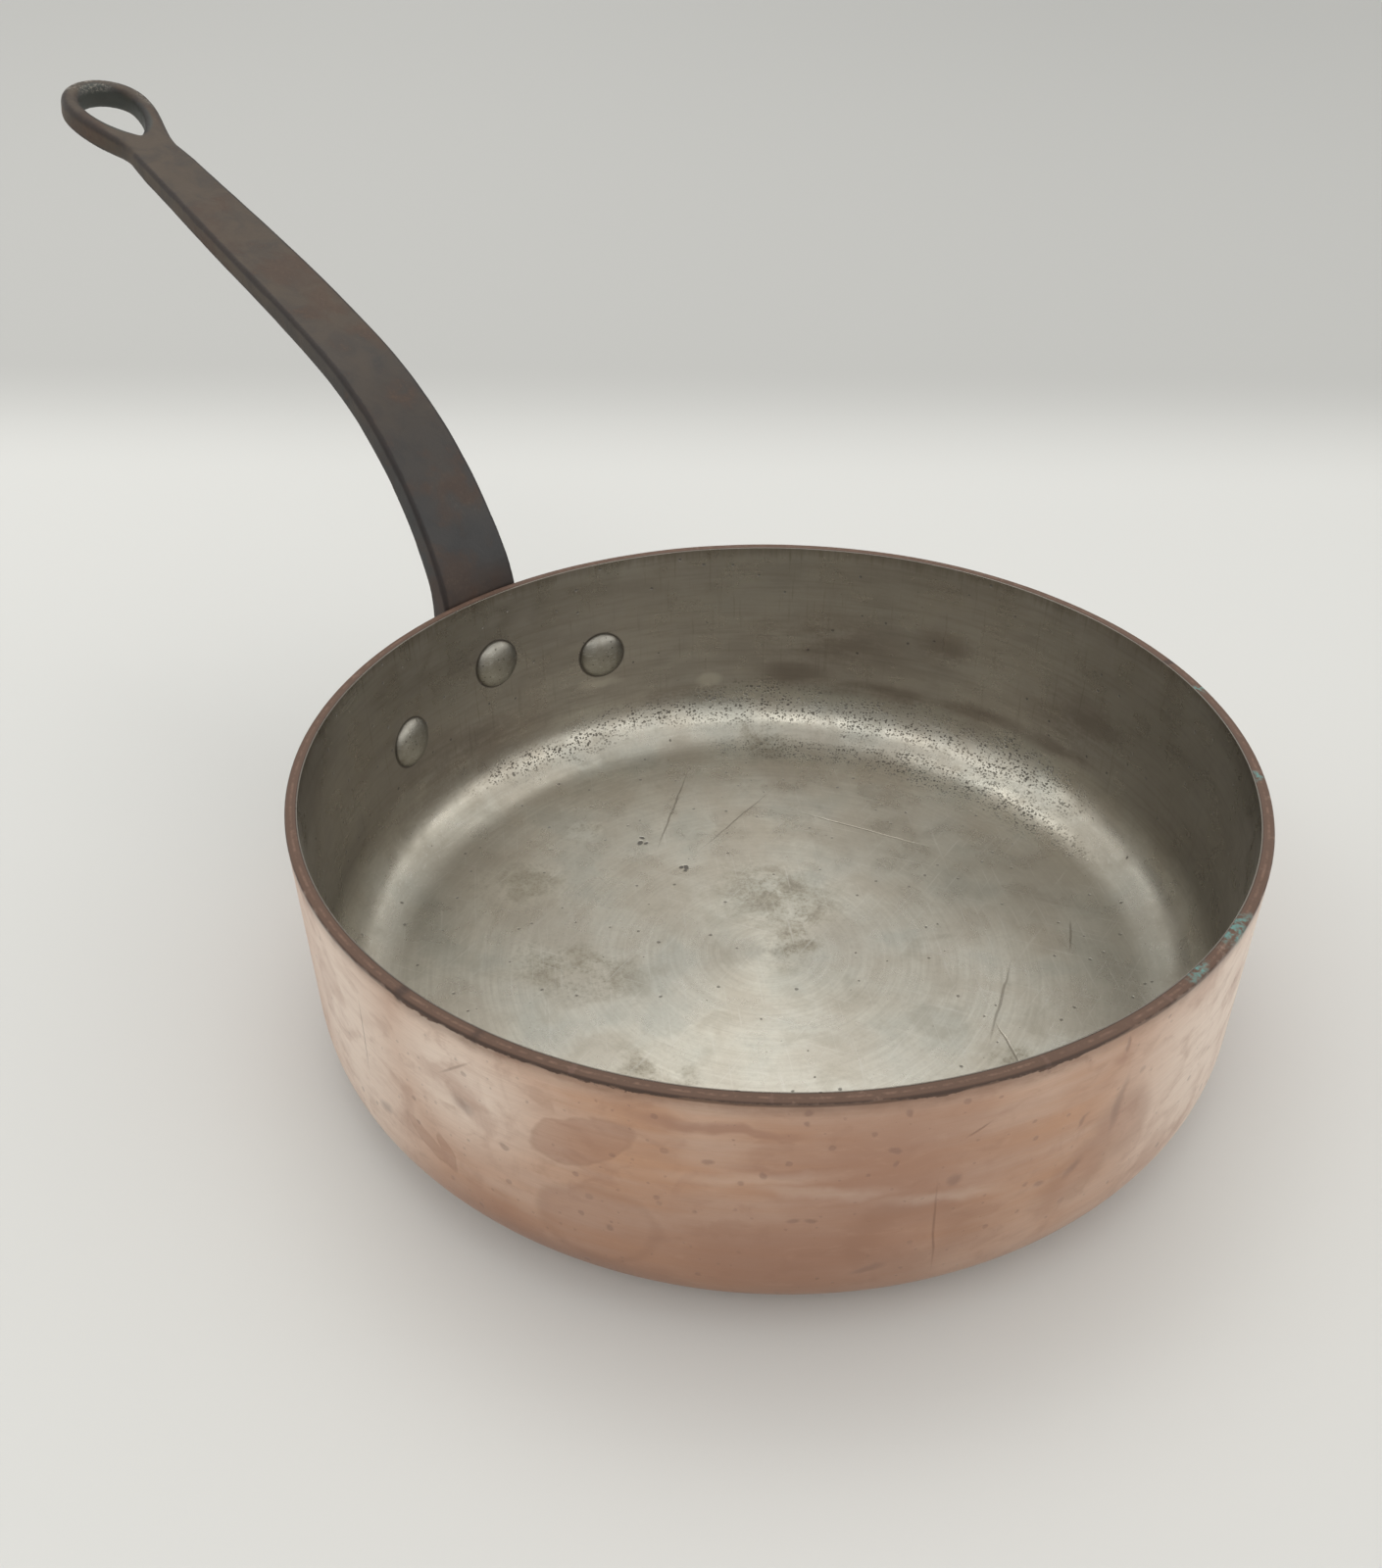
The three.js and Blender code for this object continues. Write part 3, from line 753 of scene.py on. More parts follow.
def rim_crust(graph, place):
    """Green crust in a few places on the rim."""
    pushed = wobble(graph, place, 4.0, 4.0)
    spots = graph.most(*[patch(graph, pushed, *spot) for spot in VERDIGRIS])
    return spots * graph.rise(graph.noise(place * 0.7, 4.0, 0.6), 0.40, 0.62)


def unroll(graph, place, radius, rise_with_radius=0.0):
    """A place on the wall laid out flat: how far it is round the pan, and how far up."""
    x, y, z = graph.xyz(place)
    around = graph.maths("ARCTAN2", y * -1.0, x * -1.0) * radius
    up = z + graph.length(graph.combine(x, y, 0.0)) * rise_with_radius
    return graph.combine(around, up, 0.0)


def speckle(graph, place, cell, share_of_cells, size, soft):
    """Round specks on a flat layout: at most one in each cell, and none in many of them."""
    voronoi = graph.add("ShaderNodeTexVoronoi", {"voronoi_dimensions": "2D"}, {
        "Vector": place * (1 / cell), "Scale": 1.0, "Randomness": 1.0,
    })
    outputs = voronoi.output.node.outputs
    chance = graph.red(Socket(graph, outputs["Color"]))
    reach = graph.rise(chance, 1 - share_of_cells, 1.0) * (size / cell)
    distance = Socket(graph, outputs["Distance"])
    return graph.rise(distance - reach, soft / 2 / cell, -soft / 2 / cell)


def steel_surface(body):
    material, graph = new_material("satin_steel")
    place = place_in_mm(graph)
    x, y, z = graph.xyz(place)
    radius = graph.length(graph.combine(x, y, 0.0))
    inner = body.diameter / 2 / MM - body.wall_thickness / MM
    up = z + radius
    wall = graph.rise(z, *LINING_WALL_FADE)

    broad = graph.noise(place * (1 / 45), 3.0)
    warmth = graph.noise(place * (1 / 24) + (7.0, 0.0, 0.0), 4.0, 0.55)
    cloudy = graph.noise(place * (1 / 11), 5.0, 0.55, 0.4)
    fine = graph.noise(place * 0.8, 4.0, 0.65)
    gritty = graph.noise(place * 2.2, 2.0, 0.6)
    rings = graph.add("ShaderNodeTexNoise", {"noise_dimensions": "4D"}, {
        "Vector": place * (1 / 30), "W": radius * 0.8, "Scale": 1.0, "Detail": 4.0,
        "Roughness": 0.7,
    })
    wiped = graph.noise(graph.combine(x * 0.05, y * 0.05, up * 0.9), 3.0, 0.5)
    wipes = graph.noise(graph.combine(x * 0.03, y * 0.03, up * 0.13), 6.0, 0.62)
    drips = graph.noise(place * (0.9, 0.9, 0.05), 3.0, 0.6)
    grain = rings * (1.0 - wall) + wiped * wall
    scuffs = graph.most(*[
        graph.rise(graph.noise(turned(graph, place, angle) * (0.05, 1.5, 1.5), 1.0), 0.64, 0.78)
        for angle in SCUFF_ANGLES
    ]) * (1.0 - wall)

    # Stains break up into the clouded surface round them
    loose = wobble(graph, place, 12.0, 9.0)
    broken = graph.rise(cloudy + fine * 0.30, 0.48, 0.74)
    stains = floor_patches(graph, loose, FLOOR_STAINS)
    dirt = stains * broken
    grime = stains * graph.rise(gritty * 0.3 + fine * 0.5 + cloudy * 0.6, 0.68, 0.88)
    dull_painted_shade = floor_patches(graph, loose, PAINTED_SHADE_FLOOR)
    near_wall = wobble(graph, place, 7.0, 3.0)
    wall_stains = wall_patches(graph, near_wall, inner, WALL_STAINS)
    wall_stains = wall_stains * graph.rise(wipes + fine * 0.3, 0.48, 0.70, 0.35, 1.0)
    pale = wall_patches(graph, near_wall, inner, PALE_WALL)
    smudges = graph.rise(cloudy, 0.50, 0.68)

    pits = lining_pits(graph, place, loose, wall, inner)
    near_line = wobble(graph, place, 8.0, 1.2)
    lines = floor_patches(graph, near_line, FLOOR_LINES)
    ring_dirt_and_shade = rivet_dirt_and_shade_rings(graph, place)
    under_rim = graph.rise(z + drips * 6.0, *UNDER_RIM_FADE)

    colour = graph.lay_over(body.steel[:], (
        (graph.rise(grain, 0.35, 0.65, 0.0, 0.30), DARK_ARC),
        (graph.rise(broad, 0.40, 0.62, 0.0, 0.22), PALE_STEEL),
        (graph.rise(warmth, 0.44, 0.62, 0.0, 0.30), WARM_STEEL),
        (graph.rise(warmth, 0.48, 0.34, 0.0, 0.30), COOL_STEEL),
        (smudges * 0.36, SMUDGE),
        (graph.rise(fine, 0.45, 0.75, 0.0, 0.22), FINE_GRIME),
        (graph.rise(gritty, 0.50, 0.80, 0.0, 0.12), GRIT),
        # Painted shade on the floor's two flanks
        (dull_painted_shade * 0.55, SHADED_FLOOR_STEEL),
        # Painted shade: the whole wall is laid much darker than the floor, standing in for its dark
        # reflections
        (wall * 0.83, WALL_SHADE_STEEL),
        (wall * graph.rise(wipes, 0.46, 0.64, 0.0, 0.26), DARK_WIPE),
        (wall * graph.rise(wipes, 0.46, 0.32, 0.0, 0.20), PALE_WIPE),
        (wall * graph.rise(wiped, 0.48, 0.74, 0.0, 0.17), FINE_WIPE),
        (wall * graph.rise(drips, 0.58, 0.72, 0.0, 0.30), DRIP),
        (dirt * 0.68, body.stain[:]),
        (wall_stains * 0.55, WALL_STAIN),
        (grime * 0.55, GRIME),
        (pale * 0.45, PALE_SPOT),
        (scuffs * 0.22, SCUFF),
        (graph.most(lines * 0.55, under_rim * 0.5), SCRATCH),
        (pits * 0.85, body.pit[:]),
        # Dirt and painted shade in the corner round each inner head
        (ring_dirt_and_shade, RING_DIRT_AND_SHADE),
    ))

    roughness = 0.235 + graph.rise(cloudy, 0.35, 0.70, 0.0, 0.10) + grain * 0.06 + pits * 0.3
    roughness = roughness + stains * 0.10
    metallic = 0.80 + wall * 0.20 - pits * 0.5 - dirt * 0.3 - grime * 0.4 - ring_dirt_and_shade * 0.5
    relief = bumps(graph, (
        (broad, 0.30, 1.0),
        (grain, 0.012, 0.8),
        (fine, 0.010, 0.6),
        (1.0 - graph.most(pits, lines * 0.4), 0.12, 1.0),
    ))
    finish(graph, colour, roughness, metallic, relief, Anisotropic=0.6, Anisotropic_Rotation=0.25)
    return material


def lining_pits(graph, place, loose, wall, inner):
    """Pits: thousands of tiny ones along the lining's corner, a few elsewhere."""
    zone = graph.most(*[wall_patch(graph, loose, *part) for part in PIT_ZONES])
    zone = zone * graph.rise(graph.noise(place * 0.22, 4.0, 0.7), 0.34, 0.54)
    ragged = wobble(graph, place, 0.9, 0.5)
    corner = unroll(graph, ragged, inner - CORNER_INSET, 1.0)
    tiny = graph.most(*[
        speckle(graph, corner + offset, *sizes) for offset, *sizes in TINY_PITS
    ]) * zone
    flat = corner * wall + ragged * (1.0 - wall)
    sparse = speckle(graph, flat, *SPARSE_PITS)
    clusters = floor_patches(graph, ragged, FLOOR_PITS)
    return graph.most(tiny * 0.9, sparse * 0.7, clusters)


def turned(graph, place, degrees):
    """The place turned round the upright axis."""
    inputs = {"Vector": place, "Rotation": (0.0, 0.0, math.radians(degrees))}
    return graph.add("ShaderNodeMapping", None, inputs)


def rivet_dirt_and_shade_rings(graph, place):
    """Dirt and painted shade in the corner between each inner head and the wall."""
    rivet = bpy.context.scene.pan_rivets
    angle = math.degrees(rivet.side_angle)
    heads = [
        (-angle, rivet.side_height / MM),
        (0.0, rivet.centre_height / MM),
        (angle, rivet.side_height / MM),
    ]
    reach = rivet.inner_radius / MM + RING_WIDTH
    rings = [(bearing, height, reach, reach, 0.0, RING_SOFTNESS) for bearing, height in heads]
    return wall_patches(graph, place, RING_RADIUS, rings) * 0.9


def rivet_surface(rivets):
    material, graph = new_material("rivet_steel")
    place = place_in_mm(graph)
    cloudy = graph.noise(place * 0.35, 5.0, 0.6)
    fine = graph.noise(place * 1.6, 4.0, 0.65)
    scuffs = graph.noise(turned(graph, place, 20.0) * (0.6, 0.6, 3.2), 4.0, 0.7, 0.8)
    nicked = graph.rise(scuffs + fine * 0.4, 0.78, 0.86)
    ragged = wobble(graph, place, 0.8, 0.5)
    pits = speckle(graph, unroll(graph, ragged, RIVET_PITS_RADIUS), *RIVET_PITS)
    colour = graph.lay_over(rivets.steel[:], (
        (graph.rise(cloudy, 0.35, 0.68, 0.0, 0.6), CLOUDED_RIVET),
        (nicked * 0.5, RIVET_NICK),
        (graph.rise(fine, 0.52, 0.75, 0.0, 0.4), RIVET_GRIME),
        (pits * 0.7, RIVET_PIT),
    ))
    roughness = 0.36 + cloudy * 0.16
    relief = bumps(graph, (
        (cloudy, 0.10, 1.0),
        (fine * 0.6 + nicked * 0.4, 0.03, 0.8),
    ))
    finish(graph, colour, roughness, 1.0 - pits * 0.5, relief)
    return material


def iron_surface(handle):
    material, graph = new_material("dark_iron")
    place = place_in_mm(graph)
    z = graph.xyz(place)[2]
    edge = graph.add("ShaderNodeAttribute", {"attribute_name": "edge"}, None, "Fac")
    broad = graph.noise(place * (1 / 26), 4.0, 0.55)
    cloudy = graph.noise(place * (1 / 9), 6.0, 0.6, 0.5)
    fine = graph.noise(place * 0.9, 4.0, 0.7)
    grain = graph.noise(place * 3.0, 2.0, 0.6)

    browning = graph.rise(z + broad * 70.0, *BROWNING_FADE)
    # Painted shade along the raised edges
    painted_edge_shade = graph.rise(edge + (fine - 0.5) * 0.10, 0.09, 0.20)
    sunk = graph.rise(edge, -0.03, -0.22)
    rusty = graph.rise(broad * 0.6 + cloudy * 0.4, 0.49, 0.60)
    warm_spots = graph.rise(fine * 0.5 + cloudy * 0.5, 0.56, 0.66)
    pale_dust = graph.rise(fine * 0.45 + broad * 0.55, 0.55, 0.70)
    near_rim = patch(graph, place, *NEAR_RIM)

    # The loop: green-black inside its hole, with pale chips on its far edge
    on_loop = loop_place(graph, place)
    in_hole = patch(graph, on_loop, *IN_HOLE)
    far_edge = patch(graph, on_loop, *FAR_EDGE)
    right_edge = patch(graph, on_loop, *RIGHT_EDGE)
    chips = graph.rise(fine + grain * 0.5 + edge * 0.6, 0.83, 0.90)
    chips = chips * graph.most(far_edge, right_edge * 0.8) * graph.rise(edge, 0.02, 0.10)

    colour = graph.lay_over(handle.iron[:], (
        (browning, handle.brown[:]),
        (graph.rise(cloudy, 0.40, 0.70, 0.0, 0.50), BLACK_IRON),
        (pale_dust * 0.28, PALE_DUST),
        (graph.most(rusty * 0.45, near_rim * cloudy), handle.rust[:]),
        (warm_spots * browning * 0.35, WARM_IRON),
        (in_hole * 0.85, HOLE_GREEN),
        # Painted shade: the raised edges are laid dark, standing in for their dark reflection, and sunk
        # points are darker too
        (graph.most(sunk * 0.6, painted_edge_shade * 0.70), EDGE_BLACK),
        (chips * 0.45, handle.worn[:]),
    ))

    roughness = 0.50 + cloudy * 0.16 + rusty * 0.12
    metallic = 0.35 - rusty * 0.20
    relief = bumps(graph, (
        (cloudy, 0.14, 1.0),
        (fine, 0.07, 0.8),
        (grain, 0.02, 0.6),
    ))
    finish(graph, colour, roughness, metallic, relief)
    return material


def loop_place(graph, place):
    """The place in the hanging loop's frame: along the handle, across it and out of its face."""
    x, z, angle = bar_line(LOOP_ALONG)
    inputs = {"Vector": place, "Location": (x, 0.0, z), "Rotation": (0.0, -angle, 0.0)}
    return graph.add("ShaderNodeMapping", {"vector_type": "TEXTURE"}, inputs)


# Shapes made by geometry nodes

def new_geometry_tree(name, sizes):
    """An empty tree with inputs for sizes, segments and a material, and the inputs' sockets."""
    kinds = {**{size: "Float" for size in sizes}, "Segments": "Int", "Material": "Material"}
    tree = bpy.data.node_groups.new(name, "GeometryNodeTree")
    tree.interface.new_socket("Geometry", in_out="OUTPUT", socket_type="NodeSocketGeometry")
    for label, kind in kinds.items():
        tree.interface.new_socket(label, in_out="INPUT", socket_type="NodeSocket" + kind)
    graph = Graph(tree)
    outputs = tree.nodes.new("NodeGroupInput").outputs
    return graph, {label: Socket(graph, outputs[label]) for label in kinds}


def end_geometry(graph, geometry, material):
    whole = graph.add("GeometryNodeRealizeInstances", None, {"Geometry": geometry})
    painted = graph.add("GeometryNodeSetMaterial", None, {"Geometry": whole, "Material": material})
    output = graph.tree.nodes.new("NodeGroupOutput")
    graph.tree.links.new(painted.output, output.inputs[0])
    return graph.tree


def switch(graph, index, kind, values):
    """The value at an index of a list."""
    node = graph.tree.nodes.new("GeometryNodeIndexSwitch")
    node.data_type = kind
    while len(node.index_switch_items) < len(values):
        node.index_switch_items.new()
    links = graph.tree.links
    links.new(index.output, node.inputs["Index"])
    for number, value in enumerate(values):
        if isinstance(value, Socket):
            links.new(value.output, node.inputs[number + 1])
        else:
            node.inputs[number + 1].default_value = value
    return Socket(graph, node.outputs[0])


def rounded_profile(graph, corners):
    """A line through corners, each with a radius, a height and a rounding."""
    line = graph.add("GeometryNodeMeshLine", None, {"Count": len(corners)})
    curve = graph.add("GeometryNodeMeshToCurve", None, {"Mesh": line})
    index = graph.add("GeometryNodeInputIndex")
    places = [graph.combine(radius, -1 * height, 0.0) for radius, height, rounding in corners]
    roundings = [rounding for radius, height, rounding in corners]
    inputs = {"Geometry": curve, "Position": switch(graph, index, "VECTOR", places)}
    placed = graph.add("GeometryNodeSetPosition", None, inputs)
    inputs = {"Curve": placed, "Count": FILLET_STEPS, "Radius": switch(graph, index, "FLOAT", roundings)}
    rounded = graph.add("GeometryNodeFilletCurve", {"mode": "POLY"}, inputs)
    position = graph.add("GeometryNodeInputPosition")
    settings = {"domain": "POINT", "data_type": "FLOAT_VECTOR"}
    inputs = {"Value": position, "Index": index + 1}
    following = graph.add("GeometryNodeFieldAtIndex", settings, inputs)
    cuts = graph.length(following - position) * (1 / LONGEST_STRAIGHT)
    return graph.add("GeometryNodeSubdivideCurve", None, {"Curve": rounded, "Cuts": cuts})


def turned_round(graph, profile, segments):
    """The surface that a profile of radius and height makes, turned round the upright axis."""
    inputs = {"Geometry": profile, "Offset": (-TURNING_RADIUS, 0.0, 0.0)}
    shifted = graph.add("GeometryNodeSetPosition", None, inputs)
    inputs = {"Resolution": segments, "Radius": TURNING_RADIUS}
    circle = graph.add("GeometryNodeCurvePrimitiveCircle", {"mode": "RADIUS"}, inputs)
    inputs = {"Curve": circle, "Profile Curve": shifted}
    surface = graph.add("GeometryNodeCurveToMesh", None, inputs)
    inputs = {"Geometry": surface, "Distance": MERGE_DISTANCE}
    return graph.add("GeometryNodeMergeByDistance", None, inputs)


def layer_tree():
    """Tree of a layer of the pan, between two depths inside its outer skin."""
    sizes = (
        "Rim Radius", "Height", "Corner Radius", "Draft", "Outer Depth", "Inner Depth",
        "Outer Edge", "Inner Edge", "Waviness", "Rim Wear",
    )
    graph, given = new_geometry_tree("Pan Layer", sizes)
    rim, height, corner, draft, outer, inner, outer_edge, inner_edge, waviness, wear = [
        given[size] for size in sizes
    ]
    slope = draft / (height - corner)

    def foot(depth):
        return rim - depth - slope * (height - depth)

    profile = rounded_profile(graph, [
        (0.0, outer, 0.0),
        (foot(outer), outer, corner - outer),
        (rim - outer, height, outer_edge),
        (rim - inner, height, inner_edge),
        (foot(inner), inner, corner - inner),
        (0.0, inner, 0.0),
    ])
    solid = turned_round(graph, profile, given["Segments"])
    position = graph.add("GeometryNodeInputPosition")
    x, y, z = graph.xyz(position)
    swell = graph.noise(position * WAVES_PER_METRE, 2.0)
    inward = swell * waviness / rim * -1.0
    near_rim = graph.rise(z, DENTS_START * MM, PAN_HEIGHT * MM)
    dip = graph.noise(position * DENTS_PER_METRE, 3.0) * near_rim * wear * -1.0
    inputs = {"Geometry": solid, "Offset": graph.combine(x * inward, y * inward, dip)}
    worn = graph.add("GeometryNodeSetPosition", None, inputs)
    return end_geometry(graph, worn, given["Material"])


def rivets_tree():
    """Tree of three rivets: heads and shanks placed round the wall, opposite the middle of one."""
    sizes = (
        "Shank Radius", "Inner Radius", "Inner Height", "Outer Radius", "Outer Height",
        "Side Angle", "Side Height", "Centre Height", "Inner Seat", "Side Seat", "Centre Seat",
    )
    graph, given = new_geometry_tree("Rivets", sizes)
    points = graph.add("GeometryNodeMeshLine", None, {"Count": 3})
    side = graph.add("GeometryNodeInputIndex") - 1.0
    on_side = graph.maths("ABSOLUTE", side)
    angle = side * given["Side Angle"]
    height = given["Centre Height"] + on_side * (given["Side Height"] - given["Centre Height"])
    outer_seat = given["Centre Seat"] + on_side * (given["Side Seat"] - given["Centre Seat"])
    inner_seat = given["Inner Seat"]

    def placed(shape, seat, tilt, scale):
        across = graph.combine(
            graph.maths("COSINE", angle) * seat, graph.maths("SINE", angle) * seat, height
        )
        spots = graph.add("GeometryNodeSetPosition", None, {"Geometry": points, "Position": across})
        inputs = {
            "Points": spots, "Instance": shape, "Scale": scale,
            "Rotation": graph.combine(0.0, tilt, angle),
        }
        return graph.add("GeometryNodeInstanceOnPoints", None, inputs)

    quarter = math.pi / 2
    inner_head = rivet_head(graph, given["Inner Radius"], given["Inner Height"], given["Segments"])
    outer_head = rivet_head(graph, given["Outer Radius"], given["Outer Height"], given["Segments"])
    inputs = {"Vertices": given["Segments"], "Radius": given["Shank Radius"], "Depth": 1.0}
    shank = graph.add("GeometryNodeMeshCylinder", None, inputs, "Mesh")
    length_between = outer_seat - inner_seat
    parts = [
        placed(inner_head, inner_seat, -quarter, (1.0, 1.0, 1.0)),
        placed(outer_head, outer_seat, quarter, (1.0, 1.0, 1.0)),
        placed(shank, (inner_seat + outer_seat) * 0.5, quarter,
               graph.combine(1.0, 1.0, length_between)),
    ]
    join = graph.tree.nodes.new("GeometryNodeJoinGeometry")
    for part in parts:
        graph.tree.links.new(part.output, join.inputs[0])
    return end_geometry(graph, Socket(graph, join.outputs[0]), given["Material"])


def rivet_head(graph, radius, height, segments):
    """A low dome with a full edge and a short skirt below its seat."""
    line = graph.add("GeometryNodeMeshLine", None, {"Count": DOME_STEPS + 3})
    curve = graph.add("GeometryNodeMeshToCurve", None, {"Mesh": line})
    index = graph.add("GeometryNodeInputIndex")
    angle = graph.maths("MINIMUM", index * (1 / DOME_STEPS), 1.0) * (math.pi / 2)
    skirt = graph.maths("GREATER_THAN", index, DOME_STEPS + 0.5)
    closing = graph.maths("GREATER_THAN", index, DOME_STEPS + 1.5)
    out = radius * graph.maths("SINE", angle) ** DOME_FULLNESS * (1.0 - closing)
    level = graph.maths("MAXIMUM", graph.maths("COSINE", angle), 0.0)
    up = height * level ** DOME_FLATNESS - skirt * SKIRT
    inputs = {"Geometry": curve, "Position": graph.combine(out, -1 * up, 0.0)}
    profile = graph.add("GeometryNodeSetPosition", None, inputs)
    return turned_round(graph, profile, segments)


# Objects and meshes

def new_object(name, data):
    """An object in the scene."""
    holder = bpy.data.objects.new(name, data)
    bpy.context.scene.collection.objects.link(holder)
    return holder


def baked(name, tree, values):
    """Runs a geometry tree with the given values and keeps what it makes as a plain mesh."""
    holder = new_object(name, bpy.data.meshes.new(name))
    modifier = holder.modifiers.new("Shape", "NODES")
    modifier.node_group = tree
    for item in tree.interface.items_tree:
        if item.in_out == "INPUT":
            modifier[item.identifier] = values[item.name]
    mesh = evaluated_mesh(holder)
    holder.modifiers.remove(modifier)
    holder.data = mesh
    mesh.name = name
    face_outwards(mesh)
    mesh.shade_smooth()
    return holder


def evaluated_mesh(holder):
    evaluated = holder.evaluated_get(bpy.context.evaluated_depsgraph_get())
    return bpy.data.meshes.new_from_object(evaluated)


def face_outwards(mesh):
    shape = bmesh.new()
    shape.from_mesh(mesh)
    bmesh.ops.recalc_face_normals(shape, faces=shape.faces)
    shape.to_mesh(mesh)
    shape.free()


def stand_for(piece, slot, *nodes):
    """The piece is finished: it rides on the pan and stands for its CAD nodes."""
    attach(piece, "root")
    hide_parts(*nodes)


# The handle

def bar_line(along):
    """Front face of the bar at a distance past its first bend: x, z and its angle above level."""
    angle = math.pi / 2
    x, z, left = BAR_FACE, BEND_START, along
    for radius, degrees in BENDS if along > 0 else ():
        bent = min(math.radians(degrees), left / radius)
        x += radius * (math.sin(angle) - math.sin(angle - bent))
        z += radius * (math.cos(angle - bent) - math.cos(angle))
        angle -= bent
        left = max(0.0, left - radius * math.radians(degrees))
    return x + left * math.cos(angle), z + left * math.sin(angle), angle


def bar_frame(along):
    """Frame of the bar: X along it, Y across, Z out of its face. Metres."""
    x, z, angle = bar_line(along)
    forward = Vector((math.cos(angle), 0.0, math.sin(angle)))
    across = Vector((0.0, 1.0, 0.0))
    matrix = Matrix((forward, across, forward.cross(across))).transposed().to_4x4()
    matrix.translation = Vector((x, 0.0, z)) * MM
    return matrix


def smooth_between(stations, at):
    """A smooth curve through stations of place and value."""
    places, values = np.array(stations, dtype=float).T
    slopes = np.gradient(values, places)
    number = int(np.clip(np.searchsorted(places, at) - 1, 0, len(places) - 2))
    span = places[number + 1] - places[number]
    t = (at - places[number]) / span
    return (
        values[number] * (1 + 2 * t) * (1 - t) ** 2
        + slopes[number] * span * t * (1 - t) ** 2
        + values[number + 1] * t * t * (3 - 2 * t)
        - slopes[number + 1] * span * t * t * (1 - t)
    )


def bar_section(shape, along, width, thickness):
    """Ring of points round the bar: a rectangle with rounded edges, its face at height 0."""
    matrix = bar_frame(along)
    ring = []
    for corner, (side, depth) in enumerate(((1, 0), (-1, 0), (-1, -1), (1, -1))):
        for step in range(EDGE_STEPS + 1):
            angle = math.pi / 2 * (corner + step / EDGE_STEPS)
            middle = -EDGE_RADIUS if depth == 0 else EDGE_RADIUS - thickness
            y = side * (width / 2 - EDGE_RADIUS) + EDGE_RADIUS * math.cos(angle)
            z = middle + EDGE_RADIUS * math.sin(angle)
            ring.append(shape.verts.new(matrix @ (Vector((0.0, y, z)) * MM)))
    return ring


def add_bar(shape):
    stations = [(-ROOT_LENGTH - ROOT_RAMP, WIDTHS[0][1], FLANGE_THICKNESS - BAR_STANDOFF)]
    stations.append((-ROOT_LENGTH, WIDTHS[0][1], ROOT_THICKNESS))
    for along in np.linspace(0.0, NECK_ALONG, BAR_STEPS + 1):
        thickness = ROOT_THICKNESS + (NECK_THICKNESS - ROOT_THICKNESS) * along / NECK_ALONG
        stations.append((along, smooth_between(WIDTHS, along), thickness))
    rings = [bar_section(shape, *station) for station in stations]
    for ring, following in zip(rings, rings[1:]):
        for side in range(len(ring)):
            after = (side + 1) % len(ring)
            shape.faces.new((ring[side], ring[after], following[after], following[side]))
    shape.faces.new(rings[0][::-1])
    shape.faces.new(rings[-1])


def flat_solid(name, outlines, thickness, edge):
    """A flat solid with rounded edges, lying in XY below height 0 and made of dense small faces.
    Each outline is a list of points with the handles before and after them, in millimetres."""
    curve = bpy.data.curves.new(name, "CURVE")
    curve.dimensions = "2D"
    curve.fill_mode = "BOTH"
    curve.extrude = (thickness / 2 - edge) * MM
    curve.bevel_depth = edge * MM
    curve.offset = -edge * MM
    curve.bevel_resolution = EDGE_STEPS
    curve.resolution_u = CURVE_STEPS
    for outline in outlines:
        spline = curve.splines.new("BEZIER")
        spline.bezier_points.add(len(outline) - 1)
        spline.use_cyclic_u = True
        for point, (place, before, after) in zip(spline.bezier_points, outline):
            point.handle_left_type = point.handle_right_type = "FREE"
            point.co = (place[0] * MM, place[1] * MM, 0.0)
            point.handle_left = (before[0] * MM, before[1] * MM, 0.0)
            point.handle_right = (after[0] * MM, after[1] * MM, 0.0)
    holder = new_object(name, curve)
    mesh = evaluated_mesh(holder)
    bpy.data.objects.remove(holder)
    mesh.transform(Matrix.Translation((0.0, 0.0, -thickness / 2 * MM)))
    merge_doubles(mesh)
    return remeshed(name, mesh, bpy.context.scene.pan_handle.voxel, LOOSE_SMOOTHINGS)


def merge_doubles(mesh):
    shape = bmesh.new()
    shape.from_mesh(mesh)
    bmesh.ops.remove_doubles(shape, verts=shape.verts, dist=MERGE_DISTANCE)
    bmesh.ops.recalc_face_normals(shape, faces=shape.faces)
    shape.to_mesh(mesh)
    shape.free()


def remeshed(name, mesh, voxel, smoothings):
    """The same solid in even small faces, with overlapping solids made one."""
    holder = new_object(name, mesh)
    remesh = holder.modifiers.new("Even Faces", "REMESH")
    remesh.mode = "VOXEL"
    remesh.voxel_size = voxel
    smooth = holder.modifiers.new("Ease", "SMOOTH")
    smooth.factor = SMOOTHING
    smooth.iterations = smoothings
    even = evaluated_mesh(holder)
    bpy.data.objects.remove(holder)
    return even


def blend_neck(mesh):
    """Rub down the corner where the bar widens into the loop, most at its middle."""
    shape = bmesh.new()
    shape.from_mesh(mesh)
    to_neck = bar_frame(NECK_ALONG).inverted()
    along = [(abs((to_neck @ vert.co).x) / MM, vert) for vert in shape.verts]
    for step in range(NECK_BLEND_PASSES):
        reach = NECK_BLEND_REACH * (1 - step / NECK_BLEND_PASSES)
        near = [vert for distance, vert in along if distance < reach]
        bmesh.ops.smooth_vert(
            shape, verts=near, factor=SMOOTHING, use_axis_x=True, use_axis_y=True, use_axis_z=True
        )
    shape.to_mesh(mesh)
    shape.free()


